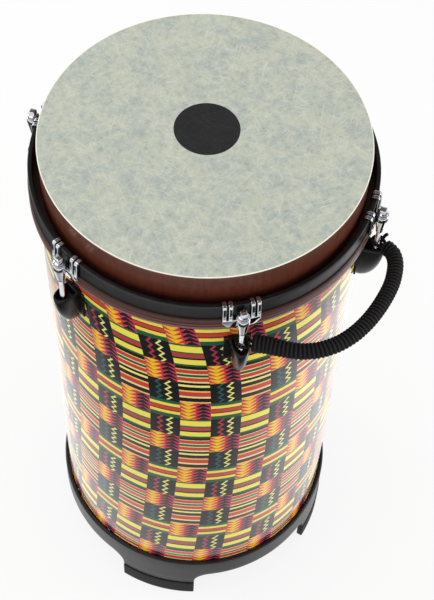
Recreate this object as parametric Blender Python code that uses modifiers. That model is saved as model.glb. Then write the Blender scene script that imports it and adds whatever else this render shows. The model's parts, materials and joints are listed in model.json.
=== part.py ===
"""A tubular conga: a printed shell on a four-footed base ring, with a flat head that is pulled
down by a steel counter hoop, claws and square-headed tuning bolts, and a rope handle that is
lashed to two of the bolts.

Metres, +Z up. The origin is on the floor, on the drum's axis. +X passes through the middle of
the rope handle, halfway between the first lug and the last."""

import math

import bmesh
import bpy
from mathutils import Matrix, Vector

# Whole drum
HEIGHT = 0.711  # floor to playing face, 28 inches
HEAD_RADIUS = 0.158  # of the film, edge to axis
CLEARANCE = 0.0003  # between pieces that touch on the real drum
TUNING_TRAVEL = 0.0024  # how far the counter hoop can still be pulled down
RING_STEPS = 64  # sides of the large round pieces

# Head: a film over a wooden hoop with an upright collar and a flange at its foot
FILM_THICKNESS = 0.0013
FILM_OVERHANG = 0.0005
COLLAR_WALL = 0.004
FLANGE_REACH = 0.0122  # from the collar's face outwards
FLANGE_HEIGHT = 0.0165
FLANGE_BELOW_FACE = 0.0508  # playing face to the flange's top
FLANGE_ROUND = 0.0015

# Counter hoop, a rounded steel band that rests on the flange
HOOP_GAP = 0.0065  # between the collar and the band
HOOP_WALL = 0.0044
HOOP_HEIGHT = 0.0188
HOOP_ROUND = 0.0022

# Shell
SHELL_STEP = 0.0081  # from the neck's face out to the shell's face
SHELL_WALL = 0.008
NECK_WALL = 0.0072
NECK_HEIGHT = 0.098  # playing face to the foot of the neck's thicker wall
SHOULDER_GAP = 0.0012  # left under the flange when the head is fully tuned
BEARING_ROUND = 0.002

# Base ring and feet
BASE_WALL = 0.0053  # of the ring outside the shell
BASE_TOP = 0.0884
BASE_SEAT = 0.060  # height of the ledge under the shell's lower edge
BASE_LEDGE = 0.0022  # how far the ledge reaches in past the shell's bore
BASE_ARCH = 0.0538  # height of the openings between the feet
BASE_ROUND = 0.0026
FOOT_COUNT = 4
FOOT_PHASE = 32.7  # degrees, the middle of the first foot
FOOT_SPAN = 32.4  # degrees
FOOT_WALL = 0.0066
FILLET_SPAN = 7.5  # degrees of the hollow curve beside a foot
FILLET_HEIGHT = 0.020

# Rubber pads, with a groove that a tongue under each foot stands in
PAD_HEIGHT = 0.028
PAD_PROUD = 0.001
PAD_WALL = 0.0022
TONGUE_WALL = 0.003
TONGUE_DEPTH = 0.014

# Claws: two fingers of two prongs over the hoop, a web below them and a boss for the bolt
LUG_COUNT = 6
BOSS_OFFSET = 0.0066  # the claw's inner face to the bolt's axis
BOSS_RADIUS = 0.0064
BOSS_TIP_RADIUS = 0.0036
BOSS_RISE = 0.0095  # the hoop's lower edge up to the seat of the washer
BOSS_BARREL = 0.006
BOSS_CONE = 0.0195
PRONG_WIDTH = 0.0039
PRONG_GAP = 0.0018
FINGER_SPACING = 0.0165  # between the two fingers
PRONG_WALL = 0.0025
PRONG_CROWN = 0.0022
LIP_WALL = 0.002
LIP_DROP = 0.005
WEB_RISE = 0.0005  # the hoop's lower edge up to the foot of the gap between prongs
WEB_DROP = 0.0145  # the hoop's lower edge down to the web's foot
WEB_CORNER = 0.0045

# Tuning bolts and washers
BOLT_RADIUS = 0.0025
BOLT_SLACK = 0.0004  # round the bolt in claw, washer, nut and lug
BOLT_FLANGE_RADIUS = 0.0052
BOLT_FLANGE_HEIGHT = 0.0022
BOLT_HEAD_SIDE = 0.0064
BOLT_HEAD_HEIGHT = 0.0045
BOLT_PAST_NUT = 0.0015
WASHER_RADIUS = 0.006
WASHER_HEIGHT = 0.0015

# Lugs: half a bowl with a cup in its top, on a curved plate
LUG_BELOW_FACE = 0.092
LUG_PAST_BOLT = 0.0095
LUG_HALF_WIDTH = 0.0087
LUG_DEPTH = 0.052
LUG_PLAN_POWER = 2.6  # 2 is an ellipse seen from above, more is squarer
LUG_SIDE_POWER = 2.15
CUP_WALL = 0.0022
CUP_BACK = 0.004
CUP_DEPTH = 0.010
PLATE_HALF_WIDTH = 0.013
PLATE_WALL = 0.0024
PLATE_BELOW_RIM = 0.0015
PLATE_HEIGHT = 0.0375
NUT_BELOW_CUP = 0.0045
NUT_ACROSS = 0.009
NUT_HEIGHT = 0.005
SCREW_BELOW_NUT = 0.0095
SCREW_RADIUS = 0.0022
SCREW_DEPTH = 0.0075  # into the lug
SCREW_HEAD_RADIUS = 0.0042
SCREW_HEAD_HEIGHT = 0.0028

# Rope handle, wound from end to end with thin cord that gives it its ribs
HANDLE_ABOVE_LUG = 0.0095
HANDLE_RISE = 0.0045
HANDLE_RADIUS = 0.0079
HANDLE_RIB_DEPTH = 0.0007
HANDLE_RIBS = 58
LASHING_RADIUS = 0.0017
LASHING_SLACK = 0.0012  # round the bolt
LASHING_SPREAD = 0.0024  # half the distance between its two ends on the rope
# Its middle line seen from above, chosen by hand: the reach out from the straight line through
# the two bolts, and the place along that line, from -1 at the last bolt to 1 at the first
HANDLE_ROUTE = [
    (0.0079, -0.930),
    (0.0136, -0.881),
    (0.0193, -0.831),
    (0.0319, -0.736),
    (0.0443, -0.622),
    (0.0543, -0.468),
    (0.0606, -0.285),
    (0.0630, -0.091),
    (0.0620, 0.114),
    (0.0586, 0.308),
    (0.0532, 0.502),
    (0.0456, 0.700),
    (0.0368, 0.850),
    (0.0298, 0.938),
    (0.0220, 0.996),
    (0.0160, 1.006),
    (0.0100, 1.004),
]

# Radii that follow
COLLAR_RADIUS = HEAD_RADIUS - FILM_OVERHANG
COLLAR_BORE = COLLAR_RADIUS - COLLAR_WALL
FLANGE_RADIUS = COLLAR_RADIUS + FLANGE_REACH
HOOP_BORE = COLLAR_RADIUS + HOOP_GAP
HOOP_RADIUS = HOOP_BORE + HOOP_WALL
NECK_RADIUS = COLLAR_BORE - CLEARANCE
NECK_BORE = NECK_RADIUS - NECK_WALL
SHELL_RADIUS = NECK_RADIUS + SHELL_STEP
SHELL_BORE = SHELL_RADIUS - SHELL_WALL
BASE_SOCKET = SHELL_RADIUS + CLEARANCE
BASE_RADIUS = BASE_SOCKET + BASE_WALL
LEDGE_BORE = SHELL_BORE - BASE_LEDGE
FOOT_BORE = BASE_RADIUS - FOOT_WALL
PAD_RADIUS = BASE_RADIUS + PAD_PROUD
TONGUE_RADIUS = PAD_RADIUS - PAD_WALL - CLEARANCE
TONGUE_BORE = TONGUE_RADIUS - TONGUE_WALL
CLAW_FACE = max(HOOP_RADIUS, FLANGE_RADIUS) + CLEARANCE
BOLT_CIRCLE = CLAW_FACE + BOSS_OFFSET
BOLT_HOLE = BOLT_RADIUS + BOLT_SLACK
LUG_SEAT = SHELL_RADIUS + CLEARANCE
LUG_REACH = BOLT_CIRCLE + LUG_PAST_BOLT - LUG_SEAT
NUT_RADIUS = NUT_ACROSS / math.sqrt(3)
LASHING_TURN = BOLT_RADIUS + LASHING_SLACK + LASHING_RADIUS

# Heights that follow
FILM_FOOT = HEIGHT - FILM_THICKNESS
FLANGE_TOP = HEIGHT - FLANGE_BELOW_FACE
FLANGE_FOOT = FLANGE_TOP - FLANGE_HEIGHT
HOOP_FOOT = FLANGE_TOP + CLEARANCE
HOOP_TOP = HOOP_FOOT + HOOP_HEIGHT
SHOULDER = FLANGE_FOOT - TUNING_TRAVEL - SHOULDER_GAP
SHELL_FOOT = BASE_SEAT + CLEARANCE
FOOT_END = PAD_HEIGHT + CLEARANCE
TONGUE_END = PAD_HEIGHT - TONGUE_DEPTH
BOSS_SEAT = HOOP_FOOT + BOSS_RISE
BOSS_SHOULDER = BOSS_SEAT - BOSS_BARREL
BOSS_TIP = BOSS_SHOULDER - BOSS_CONE
WASHER_FOOT = BOSS_SEAT + CLEARANCE
WASHER_TOP = WASHER_FOOT + WASHER_HEIGHT
BOLT_FLANGE_FOOT = WASHER_TOP + CLEARANCE
BOLT_FLANGE_TOP = BOLT_FLANGE_FOOT + BOLT_FLANGE_HEIGHT
LUG_TOP = HEIGHT - LUG_BELOW_FACE
CUP_FLOOR = LUG_TOP - CUP_DEPTH
NUT_TOP = CUP_FLOOR - NUT_BELOW_CUP
NUT_FOOT = NUT_TOP - NUT_HEIGHT
BOLT_TIP = NUT_FOOT - BOLT_PAST_NUT
BOLT_HOLE_END = BOLT_TIP - TUNING_TRAVEL - 2 * CLEARANCE
SCREW_LEVEL = NUT_FOOT - SCREW_BELOW_NUT
HANDLE_LEVEL = LUG_TOP + HANDLE_ABOVE_LUG


# The scene, its materials and the helpers that make and place a piece


def clear_scene():
    for obj in list(bpy.data.objects):
        bpy.data.objects.remove(obj, do_unlink=True)


def new_collection(name):
    made = bpy.data.collections.new(name)
    bpy.context.scene.collection.children.link(made)
    return made


def new_material(name, colour, roughness, metallic=0.0):
    made = bpy.data.materials.new(name)
    made.use_nodes = True
    shader = made.node_tree.nodes["Principled BSDF"]
    shader.inputs["Base Color"].default_value = (*colour, 1.0)
    shader.inputs["Roughness"].default_value = roughness
    shader.inputs["Metallic"].default_value = metallic
    return made


clear_scene()
PARTS = new_collection("conga")
SKIN = new_material("head_skin", (0.55, 0.60, 0.51), 0.5)
HOOP_WOOD = new_material("hoop_wood", (0.10, 0.035, 0.022), 0.35)
BLACK_STEEL = new_material("black_steel", (0.02, 0.02, 0.022), 0.35)
CHROME = new_material("chrome", (0.78, 0.79, 0.8), 0.12, 1.0)
ZINC = new_material("zinc_steel", (0.55, 0.56, 0.58), 0.3, 1.0)
PRINT = new_material("printed_shell", (0.50, 0.16, 0.06), 0.12)
BASE_PLASTIC = new_material("base_plastic", (0.035, 0.035, 0.037), 0.4)
LUG_PLASTIC = new_material("lug_plastic", (0.018, 0.018, 0.02), 0.3)
RUBBER = new_material("rubber", (0.02, 0.02, 0.022), 0.75)
ROPE = new_material("rope", (0.012, 0.012, 0.014), 0.8)


def add_object(name, data, finish):
    obj = bpy.data.objects.new(name, data)
    PARTS.objects.link(obj)
    if not data.materials:
        data.materials.append(finish)
    return obj


def smooth(obj, angle=35.0):
    obj.data.shade_smooth()
    obj.data.set_sharp_from_angle(angle=math.radians(angle))


def polar(radius, degrees, height):
    angle = math.radians(degrees)
    return (radius * math.cos(angle), radius * math.sin(angle), height)


def lug_angle(index):
    return 360 * (index + 0.5) / LUG_COUNT


def arc(centre, radius, start, end, steps):
    """Points of an arc in the (radius, height) plane, its angles in degrees from +radius."""
    points = []
    for step in range(steps + 1):
        angle = math.radians(start + (end - start) * step / steps)
        points.append((centre[0] + radius * math.cos(angle), centre[1] + radius * math.sin(angle)))
    return points


def turned(name, points, finish, closed=True):
    """A profile of (radius, height) points that runs down its outer side, turned about Z."""
    count = len(points)
    edges = [(i, (i + 1) % count) for i in range(count if closed else count - 1)]
    mesh = bpy.data.meshes.new(name)
    mesh.from_pydata([(radius, 0, height) for radius, height in points], edges, [])
    obj = add_object(name, mesh, finish)
    screw = obj.modifiers.new("turn", "SCREW")
    screw.axis = "Z"
    screw.steps = RING_STEPS
    screw.render_steps = RING_STEPS
    screw.use_merge_vertices = True
    screw.merge_threshold = 0.00001
    return obj


def settle(obj):
    """Puts an object's evaluated shape into its mesh and spends its modifiers."""
    bpy.context.view_layer.update()
    graph = bpy.context.evaluated_depsgraph_get()
    mesh = bpy.data.meshes.new_from_object(obj.evaluated_get(graph))
    obj.modifiers.clear()
    obj.data = mesh
    return obj


def combine(obj, others, operation):
    """Joins the others to the object, or cuts them from it, and removes them."""
    for other in others:
        step = obj.modifiers.new(other.name, "BOOLEAN")
        step.operation = operation
        step.object = other
        step.solver = "EXACT"
        settle(obj)
        bpy.data.objects.remove(other)
    return obj


def adopt(name, finish):
    """Names the primitive just added, gives it its finish and moves its place into its mesh."""
    obj = bpy.context.object
    bpy.context.view_layer.update()
    obj.data.transform(obj.matrix_world)
    obj.matrix_world = Matrix.Identity(4)
    obj.name = name
    obj.data.materials.clear()
    obj.data.materials.append(finish)
    for holder in list(obj.users_collection):
        holder.objects.unlink(obj)
    PARTS.objects.link(obj)
    return obj


def upright(name, radius, low, high, finish, at=0.0, steps=20, low_radius=None):
    """A cylinder or cone with its axis along Z, at a distance from the drum's axis."""
    bpy.ops.mesh.primitive_cone_add(
        vertices=steps,
        radius1=radius if low_radius is None else low_radius,
        radius2=radius,
        depth=high - low,
        location=(at, 0, (low + high) / 2),
    )
    return adopt(name, finish)


def lying(name, radius, start, end, finish, steps=16):
    """A cylinder along +X at the level of the lugs' screws."""
    bpy.ops.mesh.primitive_cylinder_add(
        vertices=steps,
        radius=radius,
        depth=end - start,
        location=((start + end) / 2, 0, SCREW_LEVEL),
        rotation=(0, math.pi / 2, 0),
    )
    return adopt(name, finish)


def block(name, low, high, finish):
    """A box between two corners."""
    size = [b - a for a, b in zip(low, high)]
    centre = [(a + b) / 2 for a, b in zip(low, high)]
    bpy.ops.mesh.primitive_cube_add(size=1, location=centre, scale=size)
    return adopt(name, finish)


def lofted(name, rings, finish):
    """A closed solid through rings of equal point counts, capped at both ends."""
    made = bmesh.new()
    rows = [[made.verts.new(point) for point in ring] for ring in rings]
    count = len(rows[0])
    for low, high in zip(rows, rows[1:]):
        for i in range(count):
            made.faces.new((low[i], low[(i + 1) % count], high[(i + 1) % count], high[i]))
    made.faces.new(rows[0])
    made.faces.new(rows[-1])
    bmesh.ops.recalc_face_normals(made, faces=made.faces)
    mesh = bpy.data.meshes.new(name)
    made.to_mesh(mesh)
    made.free()
    return add_object(name, mesh, finish)


def around_drum(name, master, count, phase, finish):
    """Copies of a piece modelled on +X, spaced evenly round the drum. The master is removed."""
    mesh = master.data
    bpy.data.objects.remove(master)
    for index in range(count):
        obj = add_object(f"{name}_{index + 1}", mesh, finish)
        obj.rotation_euler.z = math.radians(phase + 360 * index / count)


def around_bolts(name, master, finish):
    """Copies of a piece modelled on the Z axis, each with its origin on its own bolt's axis."""
    mesh = master.data
    bpy.data.objects.remove(master)
    for index in range(LUG_COUNT):
        obj = add_object(f"{name}_{index + 1}", mesh, finish)
        obj.location = polar(BOLT_CIRCLE, lug_angle(index), 0)
        obj.rotation_euler.z = math.radians(lug_angle(index))


# Drum head


def make_head_film():
    soft = FILM_THICKNESS / 4
    points = [(0.0, HEIGHT), (HEAD_RADIUS - soft, HEIGHT), (HEAD_RADIUS, HEIGHT - soft)]
    points += [(HEAD_RADIUS, FILM_FOOT + soft), (HEAD_RADIUS - soft, FILM_FOOT), (0.0, FILM_FOOT)]
    smooth(settle(turned("head_film", points, SKIN, closed=False)))


def make_head_hoop():
    top = FILM_FOOT - CLEARANCE
    soft = min(FLANGE_ROUND, FLANGE_HEIGHT / 3, FLANGE_REACH / 3)
    points = [(COLLAR_RADIUS, top), (COLLAR_RADIUS, FLANGE_TOP)]
    points += arc((FLANGE_RADIUS - soft, FLANGE_TOP - soft), soft, 90, 0, 2)
    points += arc((FLANGE_RADIUS - soft, FLANGE_FOOT + soft), soft, 0, -90, 2)
    points += [(COLLAR_BORE, FLANGE_FOOT), (COLLAR_BORE, top)]
    smooth(settle(turned("head_hoop", points, HOOP_WOOD)))


def make_counter_hoop():
    soft = min(HOOP_ROUND, HOOP_WALL / 2.5, HOOP_HEIGHT / 2.5)
    inner = HOOP_BORE + soft
    outer = HOOP_RADIUS - soft
    points = arc((outer, HOOP_TOP - soft), soft, 90, 0, 2)
    points += arc((outer, HOOP_FOOT + soft), soft, 0, -90, 2)
    points += arc((inner, HOOP_FOOT + soft), soft, -90, -180, 2)
    points += arc((inner, HOOP_TOP - soft), soft, 180, 90, 2)
    smooth(settle(turned("counter_hoop", points, BLACK_STEEL)))


# Shell and base


def make_shell():
    top = FILM_FOOT - CLEARANCE
    soft = min(BEARING_ROUND, NECK_WALL / 3)
    neck_foot = HEIGHT - NECK_HEIGHT
    slope = abs(SHELL_BORE - NECK_BORE)
    points = arc((NECK_RADIUS - soft, top - soft), soft, 90, 0, 3)
    points += [(NECK_RADIUS, SHOULDER), (SHELL_RADIUS, SHOULDER)]
    points += [(SHELL_RADIUS, SHELL_FOOT), (SHELL_BORE, SHELL_FOOT)]
    points += [(SHELL_BORE, neck_foot - slope), (NECK_BORE, neck_foot)]
    points += [(NECK_BORE, top - soft * 1.5), (NECK_RADIUS - soft * 1.5, top)]
    shell = settle(turned("shell", points, PRINT))
    drills = []
    for index in range(LUG_COUNT):
        drill = lying("drill", SCREW_RADIUS + CLEARANCE, SHELL_BORE * 0.9, SHELL_RADIUS * 1.1, PRINT)
        drill.data.transform(Matrix.Rotation(math.radians(lug_angle(index)), 4, "Z"))
        drills.append(drill)
    smooth(combine(shell, drills, "DIFFERENCE"))


def arch_outline():
    """(angle, height) points of an opening between two feet, in degrees from its middle."""
    half = 180 / FOOT_COUNT - FOOT_SPAN / 2
    corner = min(FILLET_SPAN, half * 0.9)
    outline = [(-half, -CLEARANCE)]
    for step in range(7):
        turn = math.radians(180 - 90 * step / 6)
        angle = -half + corner + corner * math.cos(turn)
        outline.append((angle, BASE_ARCH - FILLET_HEIGHT + FILLET_HEIGHT * math.sin(turn)))
    return outline + [(-angle, height) for angle, height in reversed(outline)]


def make_base_ring():
    soft = min(BASE_ROUND, BASE_WALL / 2.5)
    points = arc((BASE_RADIUS - soft, BASE_TOP - soft), soft, 90, 0, 3)
    points += [(BASE_RADIUS, FOOT_END), (TONGUE_RADIUS, FOOT_END)]
    points += [(TONGUE_RADIUS, TONGUE_END), (TONGUE_BORE, TONGUE_END), (TONGUE_BORE, FOOT_END)]
    points += [(FOOT_BORE, FOOT_END), (FOOT_BORE, BASE_ARCH), (LEDGE_BORE, BASE_ARCH)]
    points += [(LEDGE_BORE, BASE_SEAT), (BASE_SOCKET, BASE_SEAT), (BASE_SOCKET, BASE_TOP - soft / 2)]
    points += [(BASE_SOCKET + soft / 2, BASE_TOP)]
    ring = settle(turned("base_ring", points, BASE_PLASTIC))
    cutters = []
    for index in range(FOOT_COUNT):
        middle = FOOT_PHASE + 360 * (index + 0.5) / FOOT_COUNT
        rings = []
        for radius in (FOOT_BORE * 0.9, BASE_RADIUS * 1.25):
            rings.append([polar(radius, middle + angle, height) for angle, height in arch_outline()])
        cutters.append(lofted("arch", rings, BASE_PLASTIC))
    smooth(combine(ring, cutters, "DIFFERENCE"))


def make_foot_pads():
    steps = 8
    groove_foot = TONGUE_END - CLEARANCE
    outer, inner = TONGUE_RADIUS + CLEARANCE, TONGUE_BORE - CLEARANCE
    section = [(PAD_RADIUS, PAD_HEIGHT), (PAD_RADIUS, 0.0), (FOOT_BORE, 0.0), (FOOT_BORE, PAD_HEIGHT)]
    section += [(inner, PAD_HEIGHT), (inner, groove_foot), (outer, groove_foot), (outer, PAD_HEIGHT)]
    rings = []
    for step in range(steps + 1):
        angle = FOOT_SPAN * (step / steps - 0.5)
        rings.append([polar(radius, angle, height) for radius, height in section])
    pad = lofted("foot_pad", rings, RUBBER)
    smooth(pad)
    around_drum("foot_pad", pad, FOOT_COUNT, FOOT_PHASE, RUBBER)


# Tuning hardware


def prong_outline():
    """(x, z) outline of a prong: up the hoop's face, over its top and a little way down inside."""
    face = CLAW_FACE
    over = HOOP_TOP + CLEARANCE
    inside = HOOP_BORE - CLEARANCE
    top = over + PRONG_CROWN
    foot = HOOP_FOOT - WEB_DROP / 2
    outline = [(face, foot), (face + PRONG_WALL, foot), (face + PRONG_WALL, top - PRONG_WALL)]
    outline += [(face + PRONG_WALL * 0.7, top - PRONG_CROWN * 0.3), (face, top)]
    outline += [(inside, top), (inside - LIP_WALL * 0.7, top - PRONG_CROWN * 0.3)]
    outline += [(inside - LIP_WALL, top - PRONG_CROWN), (inside - LIP_WALL, over - LIP_DROP)]
    return outline + [(inside, over - LIP_DROP), (inside, over), (face, over)]


def web_outline():
    """(y, z) outline of the web, whose foot narrows to the boss."""
    half = FINGER_SPACING / 2 + 2 * PRONG_WIDTH + PRONG_GAP
    top = HOOP_FOOT + WEB_RISE
    foot = HOOP_FOOT - WEB_DROP
    side = [(half, top), (half, HOOP_FOOT - WEB_CORNER), (half - WEB_CORNER, foot + WEB_CORNER / 2)]
    side += [(BOSS_RADIUS, foot), (BOSS_RADIUS / 2, foot - BOSS_TIP_RADIUS)]
    return side + [(-y, z) for y, z in reversed(side)]


def make_claws():
    inner, outer = SHELL_RADIUS * 0.9, SHELL_RADIUS * 1.2
    rings = [[(x, y, z) for y, z in web_outline()] for x in (inner, outer)]
    claw = lofted("claw", rings, CHROME)
    face = CLAW_FACE
    low = BOSS_TIP - CLEARANCE
    band = [(face + PRONG_WALL, HOOP_TOP), (face + PRONG_WALL, low), (face, low), (face, HOOP_TOP)]
    claw = combine(claw, [settle(turned("band", band, CHROME))], "INTERSECT")
    pieces = []
    for side in (-1, 1):
        for number in range(2):
            middle = FINGER_SPACING / 2 + PRONG_WIDTH / 2 + number * (PRONG_WIDTH + PRONG_GAP)
            turn = Matrix.Rotation(side * math.asin(middle / CLAW_FACE), 3, "Z")
            rings = []
            for y in (-PRONG_WIDTH / 2, PRONG_WIDTH / 2):
                rings.append([turn @ Vector((x, y, z)) for x, z in prong_outline()])
            pieces.append(lofted("prong", rings, CHROME))
    barrel = upright("barrel", BOSS_RADIUS, BOSS_SHOULDER, BOSS_SEAT, CHROME, BOLT_CIRCLE)
    cone = upright("cone", BOSS_RADIUS, BOSS_TIP, BOSS_SHOULDER, CHROME, BOLT_CIRCLE, low_radius=BOSS_TIP_RADIUS)
    claw = combine(claw, [*pieces, combine(barrel, [cone], "UNION")], "UNION")
    # The boss is cut back to the claw's inner face, and bored for the bolt
    relief = [(face, HOOP_TOP), (face, low), (HOOP_BORE, low), (HOOP_BORE, HOOP_TOP)]
    relief = settle(turned("relief", relief, CHROME))
    bore = upright("bore", BOLT_HOLE, BOSS_TIP - CUP_DEPTH, BOSS_SEAT + CUP_DEPTH, CHROME, BOLT_CIRCLE, 16)
    claw = combine(claw, [relief, bore], "DIFFERENCE")
    smooth(claw)
    around_drum("claw", claw, LUG_COUNT, lug_angle(0), CHROME)


def make_tuning_bolts():
    half = BOLT_HEAD_SIDE / 2
    sunk = BOLT_FLANGE_HEIGHT / 2
    bolt = upright("bolt", BOLT_RADIUS, BOLT_TIP, BOLT_FLANGE_FOOT + sunk, CHROME, steps=16)
    flange = upright("flange", BOLT_FLANGE_RADIUS, BOLT_FLANGE_FOOT, BOLT_FLANGE_TOP, CHROME)
    low = (-half, -half, BOLT_FLANGE_TOP - sunk / 2)
    high = (half, half, BOLT_FLANGE_TOP + BOLT_HEAD_HEIGHT)
    bolt = combine(bolt, [flange, block("head", low, high, CHROME)], "UNION")
    smooth(bolt)
    around_bolts("tuning_bolt", bolt, CHROME)


def bored_disc(name, radius, low, high, steps):
    """A disc on the Z axis with a hole for the bolt."""
    disc = upright(name, radius, low, high, ZINC, steps=steps)
    drill = upright("drill", BOLT_HOLE, low - radius, high + radius, ZINC, steps=16)
    combine(disc, [drill], "DIFFERENCE")
    smooth(disc)
    return disc


def make_washers():
    washer = bored_disc("washer", WASHER_RADIUS, WASHER_FOOT, WASHER_TOP, 20)
    around_bolts("washer", washer, ZINC)


def make_lug_nuts():
    """Hexagon nuts, each with two of its flats along the slot in its lug."""
    nut = bored_disc("lug_nut", NUT_RADIUS, NUT_FOOT, NUT_TOP, 6)
    nut.data.transform(Matrix.Rotation(math.pi / 6, 4, "Z"))
    around_bolts("lug_nut", nut, ZINC)


def half_oval(start, reach, half_width, height, scale=1.0, back=None):
    """Half of a rounded oval seen from above, from a straight side at start outwards."""
    steps = 14
    points = []
    for step in range(steps + 1):
        turn = math.pi * (step / steps - 0.5)
        across = math.copysign(abs(math.sin(turn)) ** (2 / LUG_PLAN_POWER), turn)
        out = max(math.cos(turn), 0.0) ** (2 / LUG_PLAN_POWER)
        points.append((start + reach * scale * out, half_width * scale * across, height))
    if back is not None:
        points.append((back, points[-1][1], height))
        points.append((back, points[0][1], height))
    return points


def make_lugs():
    back = LUG_SEAT - PLATE_WALL * 2
    rings = []
    for share in (0.0, 0.3, 0.52, 0.7, 0.84, 0.94, 0.99):
        scale = (1 - share**LUG_SIDE_POWER) ** (1 / LUG_SIDE_POWER)
        height = LUG_TOP - LUG_DEPTH * share
        rings.append(half_oval(LUG_SEAT, LUG_REACH, LUG_HALF_WIDTH, height, scale, back))
    lug = lofted("lug", rings, LUG_PLASTIC)
    plate_top = LUG_TOP - PLATE_BELOW_RIM
    plate_foot = plate_top - PLATE_HEIGHT
    section = [(LUG_SEAT + PLATE_WALL, plate_top), (LUG_SEAT + PLATE_WALL, plate_foot)]
    section += [(back, plate_foot), (back, plate_top)]
    span = math.degrees(PLATE_HALF_WIDTH / SHELL_RADIUS)
    plate_rings = []
    for step in range(7):
        angle = span * (step / 3 - 1)
        plate_rings.append([polar(radius, angle, height) for radius, height in section])
    combine(lug, [lofted("plate", plate_rings, LUG_PLASTIC)], "UNION")
    cup_start = LUG_SEAT + CUP_BACK
    cup_reach = LUG_REACH - CUP_BACK - CUP_WALL
    cup_rings = []
    for height, scale in ((LUG_TOP + CUP_WALL, 1.0), (CUP_FLOOR, 0.88)):
        cup_rings.append(half_oval(cup_start, cup_reach, LUG_HALF_WIDTH - CUP_WALL, height, scale))
    cup = lofted("cup", cup_rings, LUG_PLASTIC)
    bore = upright("bore", BOLT_HOLE, BOLT_HOLE_END, LUG_TOP, LUG_PLASTIC, BOLT_CIRCLE, 16)
    half = NUT_ACROSS / 2 + CLEARANCE
    # The nut slides in from behind, up to a slot's end that follows its hexagon
    point = half / math.cos(math.pi / 6)
    slot_side = [(back - PLATE_WALL, half), (BOLT_CIRCLE + point / 2, half), (BOLT_CIRCLE + point, 0.0)]
    slot_side += [(x, -y) for x, y in reversed(slot_side[:2])]
    slot_levels = (NUT_FOOT - CLEARANCE, NUT_TOP + CLEARANCE)
    slot = lofted("slot", [[(x, y, z) for x, y in slot_side] for z in slot_levels], LUG_PLASTIC)
    screw_end = LUG_SEAT + SCREW_DEPTH + CLEARANCE
    screw_hole = lying("hole", SCREW_RADIUS + CLEARANCE, back - PLATE_WALL, screw_end, LUG_PLASTIC)
    saddle = [(LUG_SEAT, HEIGHT), (LUG_SEAT, 0.0), (LUG_SEAT / 2, 0.0), (LUG_SEAT / 2, HEIGHT)]
    saddle = settle(turned("saddle", saddle, LUG_PLASTIC))
    combine(lug, [cup, bore, slot, screw_hole, saddle], "DIFFERENCE")
    smooth(lug)
    around_drum("lug", lug, LUG_COUNT, lug_angle(0), LUG_PLASTIC)


def make_lug_screws():
    """Screws from inside the shell. A head's rim meets the round bore before its middle does."""
    flat = SHELL_BORE * math.cos(math.pi / RING_STEPS)
    face = math.sqrt(flat**2 - SCREW_HEAD_RADIUS**2) - CLEARANCE
    head = lying("head", SCREW_HEAD_RADIUS, face - SCREW_HEAD_HEIGHT, face, ZINC)
    screw_start = face - SCREW_HEAD_HEIGHT / 2
    screw = lying("lug_screw", SCREW_RADIUS, screw_start, LUG_SEAT + SCREW_DEPTH, ZINC)
    combine(screw, [head], "UNION")
    smooth(screw)
    around_drum("lug_screw", screw, LUG_COUNT, lug_angle(0), ZINC)


# Rope handle


def even_points(route, count):
    """Evenly spaced points on a smooth curve through the route's own."""
    ends = [route[0] * 2 - route[1], *route, route[-1] * 2 - route[-2]]
    fine = []
    for a, b, c, d in zip(ends, ends[1:], ends[2:], ends[3:]):
        for step in range(16):
            t = step / 16
            bend = (a * 2 - b * 5 + c * 4 - d) * t**2 + (b * 3 - a - c * 3 + d) * t**3
            fine.append((b * 2 + (c - a) * t + bend) / 2)
    fine.append(route[-1])
    reach = [0.0]
    for a, b in zip(fine, fine[1:]):
        reach.append(reach[-1] + (b - a).length)
    points = []
    index = 0
    for step in range(count):
        want = reach[-1] * step / (count - 1)
        while index < len(fine) - 2 and reach[index + 1] < want:
            index += 1
        share = (want - reach[index]) / (reach[index + 1] - reach[index])
        points.append(fine[index].lerp(fine[index + 1], share))
    return points, reach[-1]


def tube(name, points, radii, thickness, resolution):
    """A rope with a round section, its radius given at each point as a share."""
    curve = bpy.data.curves.new(name, "CURVE")
    curve.dimensions = "3D"
    curve.bevel_depth = thickness
    curve.bevel_resolution = resolution
    curve.use_fill_caps = True
    spline = curve.splines.new("POLY")
    spline.points.add(len(points) - 1)
    for point, place, radius in zip(spline.points, points, radii):
        point.co = (*place, 1.0)
        point.radius = radius
    return add_object(name, curve, ROPE)


def make_handle_grip():
    """The grip, whose ends are returned: the place and the direction out along the rope."""
    last_bolt = Vector(polar(BOLT_CIRCLE, lug_angle(LUG_COUNT - 1), HANDLE_LEVEL))
    route = []
    for reach, along in HANDLE_ROUTE:
        rise = HANDLE_RISE * max(1 - along**2, 0.0)
        route.append(Vector((last_bolt.x + reach, -last_bolt.y * along, HANDLE_LEVEL + rise)))
    count = 2 * HANDLE_RIBS + 1
    points, length = even_points(route, count)
    valley = 1 - HANDLE_RIB_DEPTH / HANDLE_RADIUS
    radii = [1.0 if index % 2 else valley for index in range(count)]
    tube("handle_grip", points, radii, HANDLE_RADIUS, 2)
    print(f"The handle's rope is {length * 1000:.0f} mm long and {2000 * HANDLE_RADIUS:.1f} mm thick")
    return points[0], points[-1]


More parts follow.
